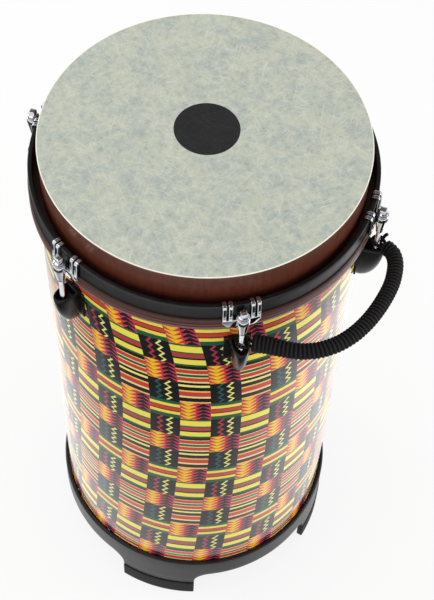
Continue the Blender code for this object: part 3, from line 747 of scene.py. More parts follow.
def make_wood_finish():
    wood = Finish("stained_plies", {"IOR": 1.5, "Coat Weight": 0.2, "Coat Roughness": 0.1, "Specular IOR Level": 0.3})
    x, y, z = wood.split(wood.place)
    around = y.math("ARCTAN2", x) * COLLAR_RADIUS
    streaks = wood.noise(wood.joined(around * 260, z * 38, 0.0), 1.0, detail=4)
    pores = wood.noise(wood.joined(around * 1500, z * 220, 3.0), 1.0, detail=2)
    clouds = wood.noise(wood.place, 45, detail=4)
    stain = wood.mix(streaks.between(0.3, 0.7) * 0.6, srgb(82, 37, 22), srgb(110, 56, 38))
    stain = wood.mix(clouds.between(0.35, 0.7) * 0.5, stain, srgb(96, 47, 32))
    stain = wood.mix(pores.between(0.48, 0.72) * 0.5, stain, srgb(54, 24, 17))
    # Painted shade: the collar darkens towards its foot, below the top of the steel hoop, where shade falls in the gap
    # between them
    rise = z.between(BAND_TOP - 0.010, BAND_TOP + 0.005)
    stain = wood.mix((1 - rise) * 0.7, stain, srgb(50, 20, 14))
    seam = 1 - abs(around - SEAM_TURN * COLLAR_RADIUS).between(0.0002, 0.0006)
    seam = seam * (z > FLANGE_TOP)
    stain = wood.mix(seam * 0.8, stain, srgb(30, 14, 12))
    level = (z - FLANGE_FOOT) / (FLANGE_TOP - FLANGE_FOOT) + (streaks - 0.5) * 0.03
    plies = wood.ramp(level, PLIES, "CONSTANT")
    plies = wood.mix(pores.between(0.4, 0.7) * 0.4, plies, srgb(58, 28, 25))
    radius = (x * x + y * y).math("SQRT")
    edge = radius.between(FLANGE_RADIUS - 0.0018, FLANGE_RADIUS - 0.0012)
    wood.set({"Base Color": wood.mix(edge, stain, plies), "Roughness": 0.32 + streaks * 0.2})
    wood.bump(streaks * 0.6 + pores * 0.4 - seam * 2, 0.0003, 0.25)
    return wood


WOOD = make_wood_finish()

# %% Wooden hoop


def make_wooden_hoop():
    corners = [
        (COLLAR_RADIUS, COLLAR_TOP),
        (COLLAR_RADIUS, FLANGE_TOP),
        (FLANGE_RADIUS, FLANGE_TOP),
        (FLANGE_RADIUS, FLANGE_FOOT),
        (COLLAR_BORE, FLANGE_FOOT),
        (COLLAR_BORE, COLLAR_TOP),
    ]
    radii = (0.0008, 0.0012, 0.0013, 0.0013, 0.0005, 0.0004)
    outline = filled_in(rounded(corners, radii), 0.006)
    grid = turned(outline, 256)
    return add_piece("wooden_hoop", [grid], [WOOD], ["head_hoop"])


make_wooden_hoop()

# %% [markdown]
# ## The steel hoop
# The counter hoop is a flat steel band with rounded edges, coated in satin black. Powder coating
# has a faint orange-peel surface, and the dust of use settles as paler, duller patches.

# %% Black coating, and the steel hoop


def make_coating_finish(name, dark, light, rough, peel, gloss=0.5):
    """A dark coating or moulded plastic with fine orange peel and a little dull wear."""
    coating = Finish(name, {"IOR": 1.5, "Specular IOR Level": gloss})
    texture = coating.noise(coating.place, 1 / peel, detail=2)
    dust = coating.noise(coating.place, 70, detail=5, rough=0.65)
    colour = coating.mix(dust.between(0.4, 0.75), dark, light)
    coating.set({"Base Color": colour, "Roughness": rough + dust * 0.12})
    coating.bump(texture, peel / 6, 0.35)
    return coating


STEEL_COAT = make_coating_finish("black_coat", srgb(13, 13, 14), srgb(24, 24, 26), 0.26, 0.0012)


def make_steel_hoop():
    corners = [
        (BAND_RADIUS, BAND_TOP),
        (BAND_RADIUS, BAND_FOOT),
        (BAND_BORE, BAND_FOOT),
        (BAND_BORE, BAND_TOP),
    ]
    outline = filled_in(rounded(corners, 0.0009, 6), 0.005)
    return add_piece("steel_hoop", [turned(outline, 256)], [STEEL_COAT], ["counter_hoop"])


make_steel_hoop()

# %% [markdown]
# ## The printed shell
# The shell is a tube of synthetic board. Its neck is set in, so that the wooden hoop can slide
# over it, and its outer face wears a print of woven strip cloth under clear gloss. Such cloth is
# sewn from narrow bands, and each band has blocks that alternate: stripes across, zigzags on
# black, and rows of flame-like strokes. Two kinds of band stand in turn, 32 round the drum.
#
# The print could be an image. Here the pattern is worked out in the shader, so that it stays
# sharp at any distance: the UV map counts bands across and repeats downwards, and the shader
# reads stripes from ramps and draws zigzags and strokes from the fraction within a block.

# %% The wrap's own coordinates
BAND_COUNT = 32
BAND_DEGREES = 360 / BAND_COUNT
BAND_START = -48.5  # degrees, the left edge of a striped band
REPEAT = 0.1475
REPEAT_START = 0.4510
WRAP_SEAM = -225.0  # degrees, at the back


def wrap_places(degrees, height):
    """Bands across and repeats down. The print isn't quite straight on the tube: towards both ends
    its bands lean by a power of the height, they open out a little downwards, and its rows dip
    by a cosine round the drum."""
    below = np.clip(0.43 - height, 0, None) / 0.29
    above = np.clip(height - 0.43, 0, None) / 0.157
    right = np.clip((degrees + 45) / 45, 0, 1)
    lean = -4.1 * below**1.6 - 3.8 * above**2.6 * (1 - 0.4 * right)
    opening = 15 * (0.44 - height)
    across = degrees - lean - opening * np.sin(np.radians(degrees + 45))
    level = height - 0.008 * (1 - np.cos(np.radians(across + 20)))
    return np.stack([(across - BAND_START) / BAND_DEGREES, (REPEAT_START - level) / REPEAT], axis=-1)


# %% Colours and stripes of the wrap
LEMON = srgb(252, 240, 92)
GOLD = srgb(255, 226, 98)
PEACH = srgb(250, 196, 124)
FLAME = srgb(255, 206, 46)
FLAME_TIP = srgb(248, 172, 92)
RED = srgb(208, 74, 50)
CRIMSON = srgb(184, 62, 74)
BROWN = srgb(178, 72, 72)
GREEN = srgb(36, 98, 62)
TEAL = srgb(48, 96, 92)
CREAM = srgb(252, 230, 164)
PALE = srgb(250, 244, 136)
BLACK = srgb(36, 30, 16)
INK = srgb(29, 30, 34)
FLAME_START = {"striped": 0.745, "zigzag": 0.0}  # where a band's block of strokes starts
FLAME_HEIGHT = 0.237
ZIGZAG_SHIFT = 0.240  # of the second kind of band against the first
FLAME_GROUND = [
    (0.00, srgb(200, 66, 56)), (0.16, srgb(214, 86, 46)), (0.26, srgb(238, 150, 46)),
    (0.36, srgb(222, 92, 48)), (0.46, srgb(216, 54, 52)), (0.62, srgb(198, 66, 80)), (1.00, srgb(200, 66, 92)),
]
STRIPED_BAND = [
    (0.000, LEMON), (0.075, GREEN), (0.092, BROWN), (0.145, BLACK), (0.163, LEMON),
    (0.229, GREEN), (0.250, BLACK), (0.288, CREAM), (0.298, RED), (0.345, CREAM),
    (0.356, GREEN), (0.389, CREAM), (0.400, RED), (0.445, CREAM), (0.465, BLACK),
    (0.498, PALE), (0.523, BLACK), (0.572, PEACH), (0.592, RED), (0.648, CREAM),
    (0.672, BLACK), (0.722, PEACH), (0.745, RED), (0.980, GREEN),
]
ZIGZAG_BAND = [
    (0.000, RED), (0.237, INK), (0.505, GREEN), (0.545, GOLD), (0.585, BLACK),
    (0.593, RED), (0.640, BLACK), (0.650, GOLD), (0.690, GREEN), (0.735, INK),
]


def shifted(stripes, start):
    """The stripes with their repeat starting at another place."""
    return sorted(((place - start) % 1, colour) for place, colour in stripes)


# %% Wrap finish
TOOTH = 0.072  # of a zigzag, as a share of the repeat
STROKES = 5


def zigzag(phase, x, centre, swing, half):
    """A line that runs right over four tenths of each tooth and back over the rest."""
    tooth = (phase / TOOTH).fraction()
    offset = (tooth / 0.4).least((1 - tooth) / 0.6) * (2 * swing) - swing
    return abs(x - centre - offset) < half


def strokes(y, x, spine, half, rise, wide, taper):
    """Strokes that taper from their spine to their tips, which lie higher by the rise: a row is
    covered where its distance from the stroke is under wide - taper * the distance from the
    spine. The mask and the distance from the spine are returned."""
    away = abs(x - spine) / half
    row = (y * STROKES + away * rise).fraction()
    return (abs(row - 0.5) * 2 < wide - taper * away) * (away < 1.0), away


def make_wrap_finish():
    wrap = Finish("printed_wrap", {"IOR": 1.5, "Coat Roughness": 0.03})
    u, v, _ = wrap.split(wrap.surface())
    fuzz = wrap.noise(wrap.joined(u * 36, v * 180, 0.0), 1.0, detail=1) - 0.5
    ragged = wrap.noise(wrap.joined(u * 4, v * 260, 5.0), 1.0, detail=1) - 0.5
    striped = (u / 2).fraction() < 0.5
    x = (u + ragged * 0.02).fraction()
    level = v + fuzz * 0.006
    phase = (level - FLAME_START["striped"] * striped - ZIGZAG_SHIFT * (1 - striped)).fraction()
    first = wrap.ramp(phase, shifted(STRIPED_BAND, FLAME_START["striped"]), "CONSTANT")
    second = wrap.ramp(phase, ZIGZAG_BAND, "CONSTANT")
    # Zigzags on the black blocks of the second kind of band
    upper = (phase > FLAME_HEIGHT) * (phase < 0.498)
    lower = phase > 0.742
    left = zigzag(phase, x, 0.33, 0.075, 0.045)
    right = zigzag(phase, x, 0.65, 0.085, 0.042)
    second = wrap.mix(left * upper, second, TEAL)
    second = wrap.mix(left * lower, second, CRIMSON)
    second = wrap.mix(right * upper.most(lower), second, PALE)
    colour = wrap.mix(striped, second, first)
    # Flame-like strokes, on both kinds of band
    y = phase / FLAME_HEIGHT
    ground = wrap.ramp(x, FLAME_GROUND)
    bright, away = strokes(y, x, 0.26, 0.24, 0.65, 0.80, 0.46)
    flame = wrap.mix(bright, ground, wrap.mix(away.between(0.2, 1.0), FLAME, FLAME_TIP))
    dark, _ = strokes(y, x, 0.76, 0.21, -0.6, 0.94, 0.58)
    flame = wrap.mix(dark, flame, srgb(38, 28, 40))
    colour = wrap.mix(phase < FLAME_HEIGHT, colour, flame)
    # The weave: fine threads across and down, and a faint speckle
    weft = (v * REPEAT * 2 * math.pi / 0.0011).math("SINE")
    warp = (u * 2 * math.pi * 24).math("SINE")
    speckle = wrap.noise(wrap.joined(u * 90, v * 420, 9.0), 1.0, detail=2)
    shade = 0.5 + weft * 0.22 + warp * 0.12 + (speckle - 0.5) * 0.9
    colour = wrap.mix(shade.between(0.0, 1.0) * 0.16, colour, srgb(20, 16, 24))
    colour = wrap.mix(speckle.between(0.6, 0.8) * 0.12, colour, srgb(150, 110, 150))
    wrap.set({"Base Color": colour, "Roughness": 0.10 + speckle * 0.05})
    haze = wrap.noise(wrap.place, 9, detail=2)
    wrap.bump(haze, 0.0006, 0.25)
    return wrap


WRAP = make_wrap_finish()

# %% Shell board finish, and the shell


def make_board_finish():
    board = Finish("shell_board", {"IOR": 1.5})
    x, y, z = board.split(board.place)
    around = y.math("ARCTAN2", x)
    fibres = board.noise(board.joined(around * 60, z * 520, 0.0), 1.0, detail=4)
    colour = board.mix(fibres.between(0.3, 0.7), srgb(38, 31, 27), srgb(64, 53, 45))
    board.set({"Base Color": colour, "Roughness": 0.55 + fibres * 0.2})
    board.bump(fibres, 0.0004, 0.6)
    return board


BOARD = make_board_finish()


def make_shell():
    steps = 288
    height = np.linspace(SHOULDER - 0.0004, SHELL_FOOT, 150)
    outer = turned(np.stack([np.full(len(height), SHELL_RADIUS), height], axis=-1), steps)
    degrees = np.linspace(WRAP_SEAM, WRAP_SEAM + 360, steps + 1)
    outer = spun(outer, math.radians(WRAP_SEAM))
    print_places = wrap_places(*np.meshgrid(degrees, height))
    slope = SHELL_BORE - NECK_BORE
    soft = 0.002
    neck = rounded([
        (SHELL_RADIUS, SHOULDER - 0.0004),
        (SHELL_RADIUS, SHOULDER),
        (NECK_RADIUS, SHOULDER),
        (NECK_RADIUS, SHELL_TOP),
        (NECK_BORE, SHELL_TOP),
        (NECK_BORE, NECK_FOOT),
        (SHELL_BORE, NECK_FOOT - slope),
        (SHELL_BORE, SHELL_FOOT),
        (SHELL_RADIUS, SHELL_FOOT),
    ], (0, 0.0003, 0.0005, soft, soft / 2, soft, soft, 0.0005, 0), 5, closed=False)
    inner = spun(turned(filled_in(neck, 0.02), steps), math.radians(WRAP_SEAM))
    return add_piece(
        "wrapped_shell",
        [outer, inner],
        [WRAP, BOARD],
        ["shell"],
        places=[print_places, laid_flat(inner)],
        numbers=[0, 1],
    )


make_shell()

# %% [markdown]
# ## The base
# The shell stands in a moulded ring with four feet, and each foot stands in a rubber pad. The
# ring's lower edge runs level over the openings, turns down in a hollow curve and follows the
# foot's underside. All four feet are one path, drawn once as a rounded outline on the unrolled
# ring, and the ring is a grid whose columns end on that path. Its edges are rounded by rows that
# step in from the path along its own normal, which a Bevel modifier would do less evenly where
# the columns are close together.

# %% Moulded plastic and rubber
BASE_PLASTIC = make_coating_finish("base_plastic", srgb(18, 18, 20), srgb(29, 29, 31), 0.34, 0.0009, 0.4)
RUBBER = make_coating_finish("pad_rubber", srgb(16, 16, 17), srgb(28, 28, 30), 0.6, 0.0007, 0.25)

# %% Base ring
FOOT_COUNT = 4
FOOT_PHASE = 32.7  # degrees, the middle of the first foot
FOOT_SPAN = 32.4  # degrees
FOOT_BORE = BASE_RADIUS - 0.0066
BASE_ARCH = 0.0538
BASE_SEAT = 0.060
FOOT_END = PAD_TOP + CLEARANCE
FILLET = 0.020
EDGE_ROUND = 0.0009


def foot_edge():
    """The lower edge of one quarter of the ring, from the middle of an opening to the middle of
    the next, as (distance round the ring, height)."""
    arc = math.radians(1) * BASE_RADIUS
    half = FOOT_SPAN / 2 * arc
    lean = 0.0006
    quarter = 360 / FOOT_COUNT / 2 * arc
    corners = [
        (-quarter, BASE_ARCH),
        (-half - lean, BASE_ARCH),
        (-half, FOOT_END),
        (half, FOOT_END),
        (half + lean, BASE_ARCH),
        (quarter, BASE_ARCH),
    ]
    return filled_in(rounded(corners, (0, FILLET, 0.0014, 0.0014, FILLET, 0), 9, closed=False), 0.0032)


def make_base_ring():
    """Rows run down the outside to the edge, in under it and up the inside. A row that lies a
    distance from the edge is shifted by that distance along the edge's normal."""
    quarter = foot_edge()
    around = 2 * math.pi * BASE_RADIUS / FOOT_COUNT
    edge = np.vstack([quarter[:-1] + (around * k, 0) for k in range(FOOT_COUNT)])
    edge = np.vstack([edge, edge[:1] + (around * FOOT_COUNT, 0)])
    ahead = np.roll(edge[:-1], -1, axis=0)[np.arange(len(edge)) % (len(edge) - 1)]
    behind = np.roll(edge[:-1], 1, axis=0)[np.arange(len(edge)) % (len(edge) - 1)]
    way = ahead - behind
    way[:, 0] = (way[:, 0] + around) % (2 * around) - around
    way /= np.linalg.norm(way, axis=1, keepdims=True)
    inward = np.stack([-way[:, 1], way[:, 0]], axis=-1)
    socket = SHELL_RADIUS + CLEARANCE
    ledge = SHELL_BORE - 0.0022
    ledge_foot = BASE_ARCH + EDGE_ROUND + 0.0003
    face = edge + inward * EDGE_ROUND
    rows = []

    def level(radius, height):
        rows.append((radius, np.stack([face[:, 0], np.full(len(face), height)], axis=-1)))

    top = rounded([(socket, BASE_TOP), (BASE_RADIUS, BASE_TOP), (BASE_RADIUS, BASE_ARCH)], 0.0026, 7, closed=False)
    for radius, height in [(socket + 0.001, BASE_TOP), *top[1:-1]]:
        level(radius, height)
    shoulder = rows[-1][1]
    for share in (0.35, 0.7):
        rows.append((BASE_RADIUS, shoulder + (face - shoulder) * share))
    for turn in np.radians((0, 30, 60, 90)):
        rows.append((BASE_RADIUS - EDGE_ROUND * (1 - math.cos(turn)), edge + inward * EDGE_ROUND * (1 - math.sin(turn))))
    for turn in np.radians((90, 45, 0)):
        rows.append((FOOT_BORE + EDGE_ROUND * (1 - math.cos(turn)), edge + inward * EDGE_ROUND * (1 - math.sin(turn))))
    for radius, height in ((FOOT_BORE, ledge_foot), (ledge, ledge_foot), (ledge, BASE_SEAT), (socket, BASE_SEAT)):
        level(radius, height)
    level(socket, BASE_TOP - 0.001)
    level(socket + 0.001, BASE_TOP)
    radii = np.array([radius for radius, _ in rows])[:, None]
    places = np.array([place for _, place in rows])
    turn = places[..., 0] / BASE_RADIUS
    grid = np.stack([radii * np.cos(turn), radii * np.sin(turn), places[..., 1]], axis=-1)
    grid = spun(grid, math.radians(FOOT_PHASE))
    return add_piece("foot_ring", [grid], [BASE_PLASTIC], ["base_ring"])


make_base_ring()

# %% Rubber pads


def make_pads():
    pad_radius = BASE_RADIUS + 0.001
    half_wall = (pad_radius - FOOT_BORE) / 2
    half_height = PAD_TOP / 2
    section = rounded([
        (-half_wall, -half_height),
        (half_wall, -half_height),
        (half_wall, half_height),
        (-half_wall, half_height),
    ], 0.0012, 4)
    section = filled_in(section, 0.004)
    span = np.radians(np.linspace(-FOOT_SPAN / 2, FOOT_SPAN / 2, 60))
    middle = pad_radius - half_wall
    path = np.stack([middle * np.cos(span), middle * np.sin(span), np.full(60, half_height)], axis=-1)
    grid = bar(section, path, UP, 28, 0.0012)
    for index in range(FOOT_COUNT):
        turn = math.radians(FOOT_PHASE + 360 * index / FOOT_COUNT)
        add_piece(f"rubber_pad_{index + 1}", [spun(grid, turn)], [RUBBER], [f"foot_pad_{index + 1}"])


make_pads()

# %% [markdown]
# ## Claws, bolts and washers
# A claw is a polished casting. Two fingers, each of two prongs, hook over the steel hoop. Below
# the hoop they run into one plate, which narrows to a boss, and the tuning bolt passes through
# the boss. The prongs are bars swept along a hook, with a hollow face that catches a dark
# reflection between bright edges. The plate is a stack of outlines that follow the hoop's curve.
# The bolt's thread is a true helix: its radius is a wave of height less the turn.

# %% Chrome and zinc


def make_metal_finish(name, colour, rough, spread):
    metal = Finish(name, {"Metallic": 1.0})
    marks = metal.noise(metal.place, 420, detail=3)
    film = metal.noise(metal.place, 90, detail=2)
    tone = metal.mix(film.between(0.35, 0.75) * 0.35, colour, srgb(176, 178, 184))
    metal.set({"Base Color": tone, "Roughness": rough + marks * spread})
    metal.bump(film + marks * 0.15, 0.0003, 0.3)
    return metal


CHROME = make_metal_finish("chrome", srgb(232, 233, 236), 0.04, 0.05)
ZINC = make_metal_finish("zinc_plate", srgb(196, 198, 202), 0.22, 0.12)

# %% Claws
BOSS_RADIUS = 0.0064
BOSS_SEAT = WASHER_FOOT - CLEARANCE
BOSS_SHOULDER = BOSS_SEAT - 0.006
BOSS_TIP_RADIUS = 0.0036
PRONG_WIDTH = 0.0039
PRONG_GAP = 0.0018
FINGER_SPACING = 0.0165
PRONG_WALL = 0.0025
PRONG_LEAN = 0.0013  # by which a prong is thinner at its crown
WEB_WALL = 0.0026
WEB_TOP = BAND_FOOT + 0.0005
WEB_FOOT = BAND_FOOT - 0.0145


def prong_grid(middle):
    """A hooked bar over the steel hoop, with a hollow in its outer face that fades out at both
    ends: section = plain + depth * window(distance)."""
    face = CLAW_FACE + PRONG_WALL / 2
    inside = BAND_BORE - CLEARANCE - PRONG_WALL / 2
    top = BAND_TOP + CLEARANCE + PRONG_WALL / 2
    corners = [(face, WEB_TOP - 0.0030), (face, top), (inside, top), (inside, top - 0.0062)]
    flat = rounded(corners, (0, 0.0032, 0.0026, 0), 7, closed=False)
    path = np.stack([flat[:, 0], np.zeros(len(flat)), flat[:, 1]], axis=-1)
    half, wide = PRONG_WALL / 2, PRONG_WIDTH / 2
    groove = wide - 0.0008
    outline = [(-half, -wide), (half, -wide), (half, -groove), (half, groove), (half, wide), (-half, wide)]
    plain = rounded([outline[0], outline[1], outline[4], outline[5]], 0.0007, 4)
    plain = at_places(plain, np.linspace(0, reach_along(plain)[-1], 49))
    hollow = np.zeros_like(plain)
    hollow[:, 0] = np.clip(1.6 - 1.6 * abs(plain[:, 1] / groove) ** 4, 0, 1) * (plain[:, 0] > half * 0.9)
    front = np.zeros_like(plain)
    front[:, 0] = plain[:, 0] > 0
    places, _ = soft_places(reach_along(path)[-1], 40, 0.0008)
    window = np.clip((places - 0.0040) / 0.001, 0, 1) * np.clip((0.0198 - places) / 0.001, 0, 1)
    lean = -PRONG_LEAN * np.clip((places - 0.002) / 0.018, 0, 1)
    deep = -(PRONG_LEAN + 0.0006) - lean
    section = plain + front * lean[:, None, None] + hollow * (deep * window)[:, None, None]
    grid = bar(section, path, (0.0, 1.0, 0.0), 40, 0.0008)
    return spun(grid, math.asin(middle / CLAW_FACE))


def plate_grid():
    """Level outlines stacked upwards, as wide as the plate's silhouette is at each height. A point
    at the distance y across lies at the turn y / radius round the drum."""
    half = FINGER_SPACING / 2 + 2 * PRONG_WIDTH + PRONG_GAP
    corner = 0.0045
    side = [
        (half, WEB_TOP + 0.0001),
        (half, BAND_FOOT - corner),
        (half - corner, WEB_FOOT + corner / 2),
        (BOSS_RADIUS, WEB_FOOT),
        (BOSS_RADIUS * 0.7, CLAW_TIP + 0.0003),
    ]
    width = rounded(side, (0, 0.004, 0.004, 0.002, 0), 5, closed=False)[::-1]
    foot = side[-1][1]
    heights, drawn_in = soft_places(WEB_TOP - foot, 26, 0.0008)
    inset = 0.0008 * drawn_in
    halves = np.interp(heights + foot, width[:, 1], width[:, 0]) - inset
    near = CLAW_FACE
    rise = np.clip((heights - 0.0015) / 0.0135, 0, 1)
    wall = 0.0006 + (WEB_WALL - 0.0006) * rise**0.75
    outlines = []
    for half_width, inner, outer in zip(halves, near + inset, near + wall - inset):
        soft = min(0.0009, (outer - inner) * 0.45)
        corners = [(-half_width, inner), (half_width, inner), (half_width, outer), (-half_width, outer)]
        outline = rounded(corners, soft, 4)
        ends = reach_along(outline)[[0, 4, 5, 9, 10, 14, 15, 19, 20]]
        places = np.concatenate([np.linspace(a, b, 8 if k % 2 else 5)[:-1] for k, (a, b) in enumerate(zip(ends, ends[1:]))])
        outlines.append(at_places(outline, np.append(places, ends[-1])))
    flat = np.array(outlines)
    turn = flat[..., 0] / CLAW_FACE
    upright = np.broadcast_to((heights + foot)[:, None], turn.shape)
    return capped(np.stack([flat[..., 1] * np.cos(turn), flat[..., 1] * np.sin(turn), upright], axis=-1))


def boss_grid():
    bore = 0.0029
    corners = [
        (bore, BOSS_SEAT),
        (BOSS_RADIUS, BOSS_SEAT),
        (BOSS_RADIUS, BOSS_SHOULDER),
        (BOSS_TIP_RADIUS, CLAW_TIP + 0.0015),
        (BOSS_TIP_RADIUS, CLAW_TIP),
        (bore, CLAW_TIP),
    ]
    outline = rounded(corners, (0.0004, 0.0012, 0.003, 0.001, 0.0006, 0.0002), 5)
    return turned(filled_in(outline, 0.003), 40, (BOLT_CIRCLE, 0.0))


def make_claws():
    grids = [plate_grid(), boss_grid()]
    for side in (-1, 1):
        for number in range(2):
            middle = FINGER_SPACING / 2 + PRONG_WIDTH / 2 + number * (PRONG_WIDTH + PRONG_GAP)
            grids.append(prong_grid(side * middle))
    for index, turn in enumerate(LUG_TURNS):
        turned_grids = [spun(grid, turn) for grid in grids]
        add_piece(f"chrome_claw_{index + 1}", turned_grids, [CHROME], [f"claw_{index + 1}"])


make_claws()

# %% Bolts
BOLT_RADIUS = 0.0025
THREAD_PITCH = 0.0008
THREAD_DEPTH = 0.00035
THREAD_TOP = BOSS_SHOULDER
BOLT_FLANGE_FOOT = WASHER_TOP + CLEARANCE
BOLT_FLANGE_RADIUS = 0.0052
BOLT_FLANGE_TOP = BOLT_FLANGE_FOOT + 0.0022
BOLT_HEAD_SIDE = 0.0064


def thread_grid():
    """The rod: radius = crest - depth * triangle wave of (height / pitch - turn / full turn), which
    fades out at the tip."""
    rows = round((THREAD_TOP - BOLT_TIP) / THREAD_PITCH * 5)
    height = np.linspace(BOLT_TIP, THREAD_TOP, rows)[:, None]
    turn = np.linspace(0, 2 * math.pi, 21)
    wave = abs((height / THREAD_PITCH - turn / (2 * math.pi)) % 1 * 2 - 1)
    radius = BOLT_RADIUS - THREAD_DEPTH * wave - 0.0006 * np.clip(1 - (height - BOLT_TIP) / 0.0008, 0, 1)
    x, y = radius * np.cos(turn), radius * np.sin(turn)
    return capped(np.stack(np.broadcast_arrays(BOLT_CIRCLE + x, y, height), axis=-1))


def head_grid():
    """The square head: one rounded square, drawn in at its top by a chamfer."""
    half = BOLT_HEAD_SIDE / 2
    square = rounded([(-half, -half), (half, -half), (half, half), (-half, half)], 0.0007, 3)
    rows = [(1.0, BOLT_FLANGE_TOP - 0.0005), (1.0, BOLT_TOP - 0.0012), (0.97, BOLT_TOP - 0.0006), (0.86, BOLT_TOP - 0.0001), (0.80, BOLT_TOP)]
    scale, height = np.array(rows).T
    flat = square * scale[:, None, None]
    upright = np.broadcast_to(height[:, None], flat.shape[:2])
    return capped(np.stack([flat[..., 0] + BOLT_CIRCLE, flat[..., 1], upright], axis=-1))


def flange_grid():
    corners = [
        (0.0, BOLT_FLANGE_TOP + 0.0003),
        (BOLT_HEAD_SIDE / 2, BOLT_FLANGE_TOP),
        (BOLT_FLANGE_RADIUS, BOLT_FLANGE_TOP - 0.0009),
        (BOLT_FLANGE_RADIUS, BOLT_FLANGE_FOOT),
        (BOLT_RADIUS, BOLT_FLANGE_FOOT),
        (BOLT_RADIUS, THREAD_TOP - 0.0004),
        (0.0, THREAD_TOP - 0.0004),
    ]
    outline = rounded(corners, (0, 0.0005, 0.0004, 0.0003, 0.0002, 0.0001, 0), 4, closed=False)
    return turned(outline, 32, (BOLT_CIRCLE, 0.0))


def make_bolts():
    grids = [thread_grid(), head_grid(), flange_grid()]
    for index, turn in enumerate(LUG_TURNS):
        turned_grids = [spun(grid, turn) for grid in grids]
        node = f"tuning_bolt_{index + 1}"
        add_piece(f"threaded_bolt_{index + 1}", turned_grids, [CHROME], [node])


make_bolts()

# %% Washers


def make_washers():
    radius = 0.006
    bore = 0.0029
    corners = [(bore, WASHER_TOP), (radius, WASHER_TOP), (radius, WASHER_FOOT), (bore, WASHER_FOOT)]
    outline = rounded(corners, (0.0003, 0.0006, 0.0006, 0.0003), 4)
    grid = turned(outline, 36, (BOLT_CIRCLE, 0.0))
    for index, turn in enumerate(LUG_TURNS):
        add_piece(f"steel_washer_{index + 1}", [spun(grid, turn)], [ZINC], [f"washer_{index + 1}"])


make_washers()

# %% [markdown]
# ## Lugs
# A lug is half a bowl of black plastic on a curved plate, and its top is an oval cup with a thick
# rim. The rod goes down through the cup into a nut that is hidden in the bowl. One grid makes all
# of it: its columns go round the oval, and its rows climb the outside of the bowl, cross the
# rounded rim, go down the wall of the cup and end in the bolt's bore.

# %% Lug plastic, and the lugs
LUG_PLASTIC = make_coating_finish("lug_plastic", srgb(12, 12, 13), srgb(24, 24, 26), 0.14, 0.0011, 0.3)
LUG_HALF_WIDTH = 0.0087
LUG_REACH = BOLT_CIRCLE + 0.0095 - LUG_SEAT
LUG_DEPTH = 0.052
PLAN_POWER = 2.6
SIDE_POWER = 2.15
CUP_WALL = 0.0022
CUP_BACK = 0.004
CUP_DEPTH = 0.010
PLATE_HALF_WIDTH = 0.013
PLATE_WALL = 0.0024
PLATE_TOP = LUG_TOP - 0.0015
PLATE_FOOT = PLATE_TOP - 0.0375


def half_oval(start, reach, half_width, back):
    """A closed loop: a half oval, out = reach cos(t)^(2/power) and across = width sin(t)^(2/power)
    with the sign of t, then straight back behind it."""
    t = np.linspace(-math.pi / 2, math.pi / 2, 37)
    out = np.cos(t).clip(0) ** (2 / PLAN_POWER)
    across = np.sign(t) * abs(np.sin(t)) ** (2 / PLAN_POWER)
    front = np.stack([start + reach * out, half_width * across], axis=-1)
    straight = np.linspace(1, -1, 11)
    rear = np.stack([np.full(11, back), half_width * straight], axis=-1)
    return np.vstack([front, rear, front[:1]])


def bowl_grid():
    wall_back = LUG_SEAT - 0.0012
    rows = []
    for share in np.sin(np.linspace(math.pi / 2, 0, 16)):
        scale = (1 - share**SIDE_POWER) ** (1 / SIDE_POWER)
        loop = half_oval(LUG_SEAT, LUG_REACH * scale, LUG_HALF_WIDTH * max(scale, 0.02), wall_back)
        rows.append((loop, LUG_TOP - LUG_DEPTH * share))
    rim = rows.pop()[0]
    cup_reach = LUG_REACH - CUP_BACK - CUP_WALL
    start = LUG_SEAT + CUP_BACK
    cup = half_oval(start, cup_reach, LUG_HALF_WIDTH - CUP_WALL, start)
    soft = 0.0009
    rows = [(loop, min(height, LUG_TOP - soft)) for loop, height in rows]
    for turn in np.radians((0, 30, 60, 90)):
        share = (1 - math.cos(turn)) * 0.4
        rows.append((rim + (cup - rim) * share, LUG_TOP - soft * (1 - math.sin(turn))))
    for turn in np.radians((90, 60, 30, 0)):
        share = 1 - (1 - math.cos(turn)) * 0.4
        rows.append((rim + (cup - rim) * share, LUG_TOP - soft * (1 - math.sin(turn))))
    middle = np.array([BOLT_CIRCLE, 0.0])
    for depth, scale in ((0.3, 0.97), (0.6, 0.94), (0.85, 0.9), (0.97, 0.84), (1.0, 0.76)):
        rows.append((middle + (cup - middle) * scale, LUG_TOP - CUP_DEPTH * depth))
    away = cup - middle
    ring = middle + away / np.linalg.norm(away, axis=1, keepdims=True) * 0.0029
    rows.append((ring, LUG_TOP - CUP_DEPTH))
    rows.append((ring, LUG_TOP - CUP_DEPTH - 0.004))
    flat = np.array([loop for loop, _ in rows])
    upright = np.array([height for _, height in rows])
    upright = np.broadcast_to(upright[:, None], flat.shape[:2])
    return capped(np.stack([flat[..., 0], flat[..., 1], upright], axis=-1))


def mount_grid():
    """The curved plate behind the bowl, a rounded bar swept round the shell."""
    half_wall = PLATE_WALL / 2
    half_height = (PLATE_TOP - PLATE_FOOT) / 2
    corners = [(-half_wall, -half_height), (half_wall, -half_height), (half_wall, half_height), (-half_wall, half_height)]
    section = filled_in(rounded(corners, 0.0008, 4), 0.005)
    span = PLATE_HALF_WIDTH / SHELL_RADIUS * np.linspace(-1, 1, 30)
    middle = LUG_SEAT + half_wall
    level = (PLATE_TOP + PLATE_FOOT) / 2
    path = np.stack([middle * np.cos(span), middle * np.sin(span), np.full(30, level)], axis=-1)
    return bar(section, path, UP, 14, 0.0008)


def make_lugs():
    grids = [bowl_grid(), mount_grid()]
    for index, turn in enumerate(LUG_TURNS):
        turned_grids = [spun(grid, turn) for grid in grids]
        add_piece(f"bowl_lug_{index + 1}", turned_grids, [LUG_PLASTIC], [f"lug_{index + 1}"])


make_lugs()

